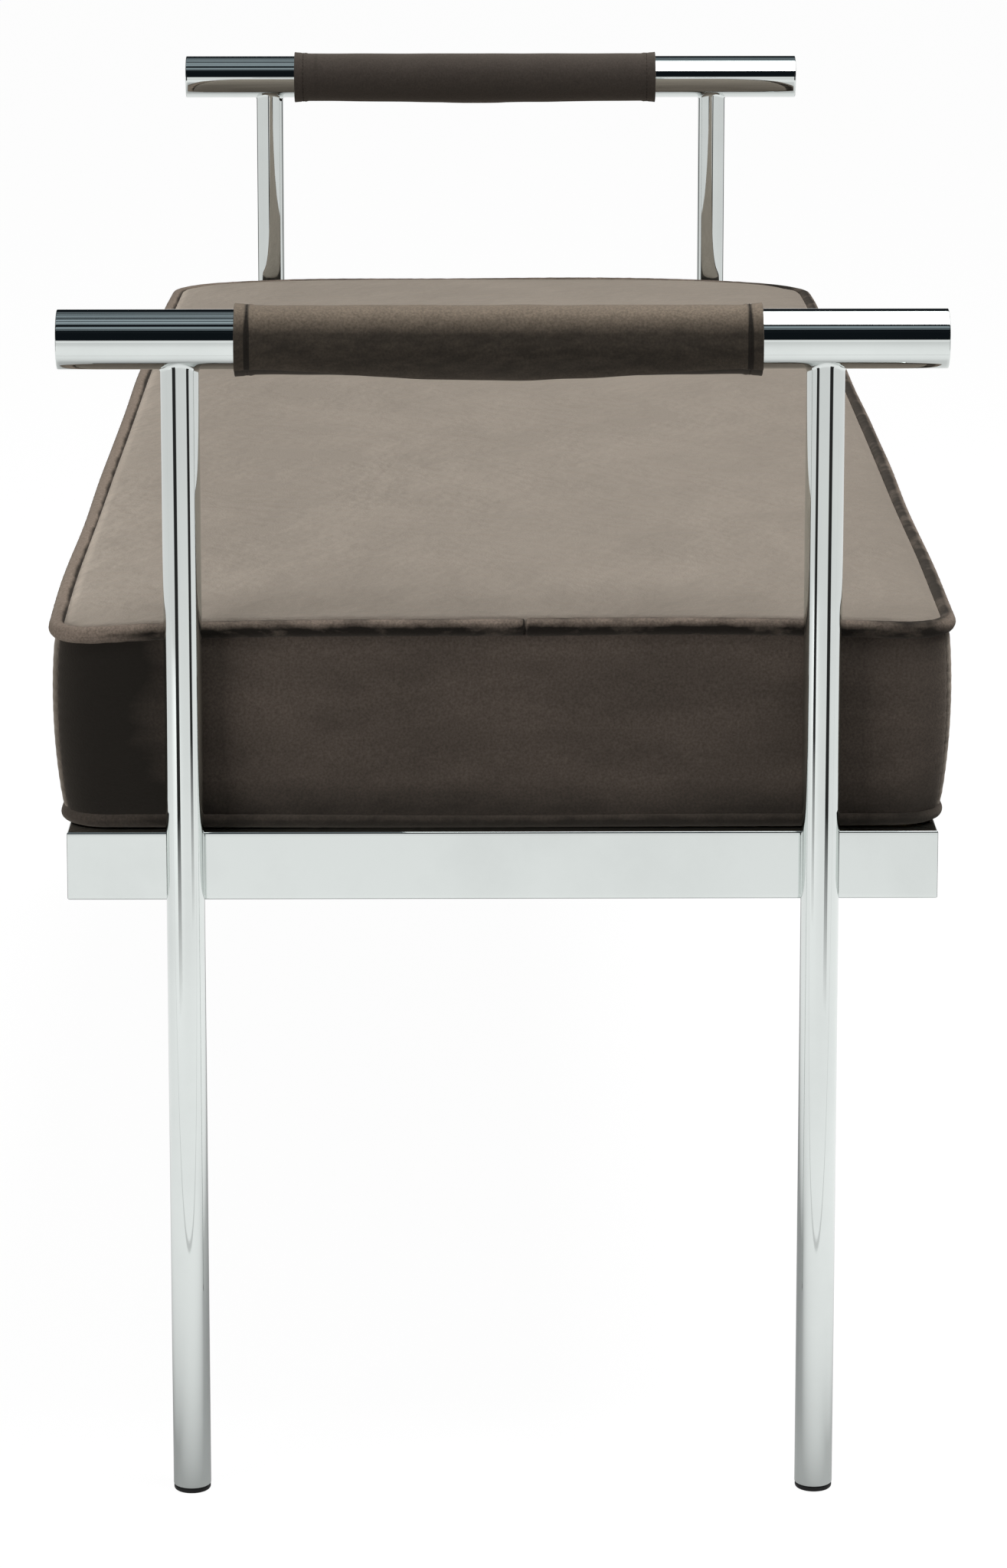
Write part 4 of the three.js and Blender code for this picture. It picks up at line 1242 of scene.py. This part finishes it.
def sleeve(end):
    """Velvet strip wound once round the bar and over its own hidden edge, furthest at its middle. Its
    radius steps out by a layer where it laps, its slack hangs below the bar, its hems are thicker and flare
    a little, and its stitch line lies in a groove."""
    low, high, _ = place(f"sleeve_cover_{end}")
    lining_low, lining_high, _ = place(f"sleeve_lining_{end}")
    core = (lining_high[2] - lining_low[2]) / 2 + LAYER_GAP
    run = high[1] - low[1]
    along = graded(run, 2.2 * MM, 0.15 * MM, 1.5)[:, None]
    wrap = WRAP - WRAP_SWING * np.cos(2 * np.pi * along / run)
    turned = graded(WRAP * core, 1.6 * MM, 0.12 * MM, 1.5)[None, :] / core * wrap / WRAP
    edge = np.minimum(along, run - along)
    lap = (SLEEVE_CLOTH + LAYER_GAP) * smooth(turned, *LAP_TURN)
    lift = FLAP_LIFT * smooth(turned, wrap - FLAP_REACH, wrap)
    bearing = HIDDEN_EDGE - turned
    slack = SLACK + MIDDLE_SLACK * np.sin(np.pi * along / run) ** 2
    hang = slack * np.clip(-np.sin(bearing), 0, 1) ** 3
    swell = waves(along + 0 * turned, 4 * run, SLEEVE_SEEDS[end], *SLEEVE_RIPPLE)
    ripple = swell * np.sin(bearing * 2 + 0.6)
    hem = HEM_THICKER * smooth(edge, HEM_WIDTH + 1 * MM, HEM_WIDTH - 0.5 * MM)
    groove = STITCH_GROOVE * np.exp(-((edge - HEM_STITCH) / GROOVE_WIDTH) ** 2)
    flare = HEM_FLARE * np.exp(-edge / FLARE_REACH)
    inner = core + lap + lift + hang + ripple + flare
    thick = SLEEVE_CLOTH + hem - groove
    strip = np.minimum(turned, wrap - turned) * core
    close = np.minimum(np.clip(edge / HEM_ROUND, 0, 1), np.clip(strip / STRIP_ROUND, 0, 1))
    half = thick / 2 * np.sqrt(1 - (1 - close) ** 2)
    loop = np.concatenate([inner + thick / 2 + half, (inner + thick / 2 - half)[:, ::-1]], axis=1)
    bearing = np.concatenate([bearing, bearing[:, ::-1]], axis=1)
    bar = middle_of_bar(end)
    points = np.stack([bar[0] + ENDS[end] * loop * np.cos(bearing), low[1] + along + 0 * loop,
                       bar[2] + loop * np.sin(bearing)], -1)
    mesh = surface(f"sleeve_{end}", points, around=True)
    made = piece(f"sleeve_{end}_velvet", mesh, sleeve_velvet[end], "velvet", f"sleeve_cover_{end}")
    stitches = hem_stitches(end, core + thick[0].max(), low[1], run)


def middle_of_bar(end):
    """Middle of a bar's axis."""
    return place(f"top_bar_{end}")[2]


def hem_stitches(end, radius, start, run):
    """Thread along both hems: slim ellipsoids end to end round the sleeve, in the groove of the stitch
    line."""
    turned = np.arange(FIRST_STITCH, WRAP - WRAP_SWING - LAST_STITCH, STITCH_PITCH / radius)
    long, thin = 1.35 * MM, 0.24 * MM
    polar = np.linspace(0, np.pi, 7)[None, :, None]
    turn = np.linspace(0, 2 * np.pi, 6, endpoint=False)[None, None, :]
    rows = np.concatenate([turned, turned])[:, None, None]
    where = np.repeat([start + HEM_STITCH, start + run - HEM_STITCH], len(turned))[:, None, None]
    step = (SLEEVE_CLOTH + LAYER_GAP) * smooth(rows, *LAP_TURN)
    step = step + SLACK * np.clip(-np.sin(HIDDEN_EDGE - rows), 0, 1) ** 3
    bearing = HIDDEN_EDGE - rows + long / radius * np.cos(polar) + 0 * turn
    reach = radius - 0.1 * MM + step + thin * np.sin(polar) * np.cos(turn)
    bar = middle_of_bar(end)
    points = np.stack([bar[0] + ENDS[end] * reach * np.cos(bearing),
                       where + thin * np.sin(polar) * np.sin(turn), bar[2] + reach * np.sin(bearing)], -1)
    return piece(f"sleeve_{end}_stitches", copies(f"sleeve_{end}_stitches", points), thread, "velvet")


def sleeve_lining(end):
    """Felt tube under a sleeve, with soft ends."""
    name = f"sleeve_lining_{end}"
    low, high, middle = place(name)
    radius, half = (high[2] - low[2]) / 2, (high[1] - low[1]) / 2
    wall = 0.8 * MM
    cap = arc((radius - wall / 2, half - wall / 2), wall / 2, 0, 180, 7)
    profile = np.concatenate([cap, (cap * (1, -1))[::-1]])
    mesh = lathe(name, np.concatenate([profile, profile[:1]]), middle, (0, 1, 0))
    piece(f"{name}_felt", mesh, lining_felt, "sleeve_lining", name)


for end in ENDS:
    top_bar(end)
    sleeve_lining(end)
    sleeve(end)
    box_tube(f"end_rail_{end}", 1, RAIL_CORNER, True)
    for side in SIDES:
        end_plug(end, side)
        post(end, side)
        foot_glide(end, side)
        for level in LEVELS:
            post_bolt(end, side, level)
for side in SIDES:
    box_tube(f"side_rail_{side}", 0, RAIL_CORNER, True)
for number in CROSS_BRACES:
    box_tube(f"cross_brace_{number}", 1, BRACE_CORNER, False)
    for side in SIDES:
        board_screw(number, side)
cushion()
dust_cover()

make_camera()
make_lights()
make_world()
make_floor()
make_cards()

bpy.context.scene.view_settings.view_transform = "Standard"
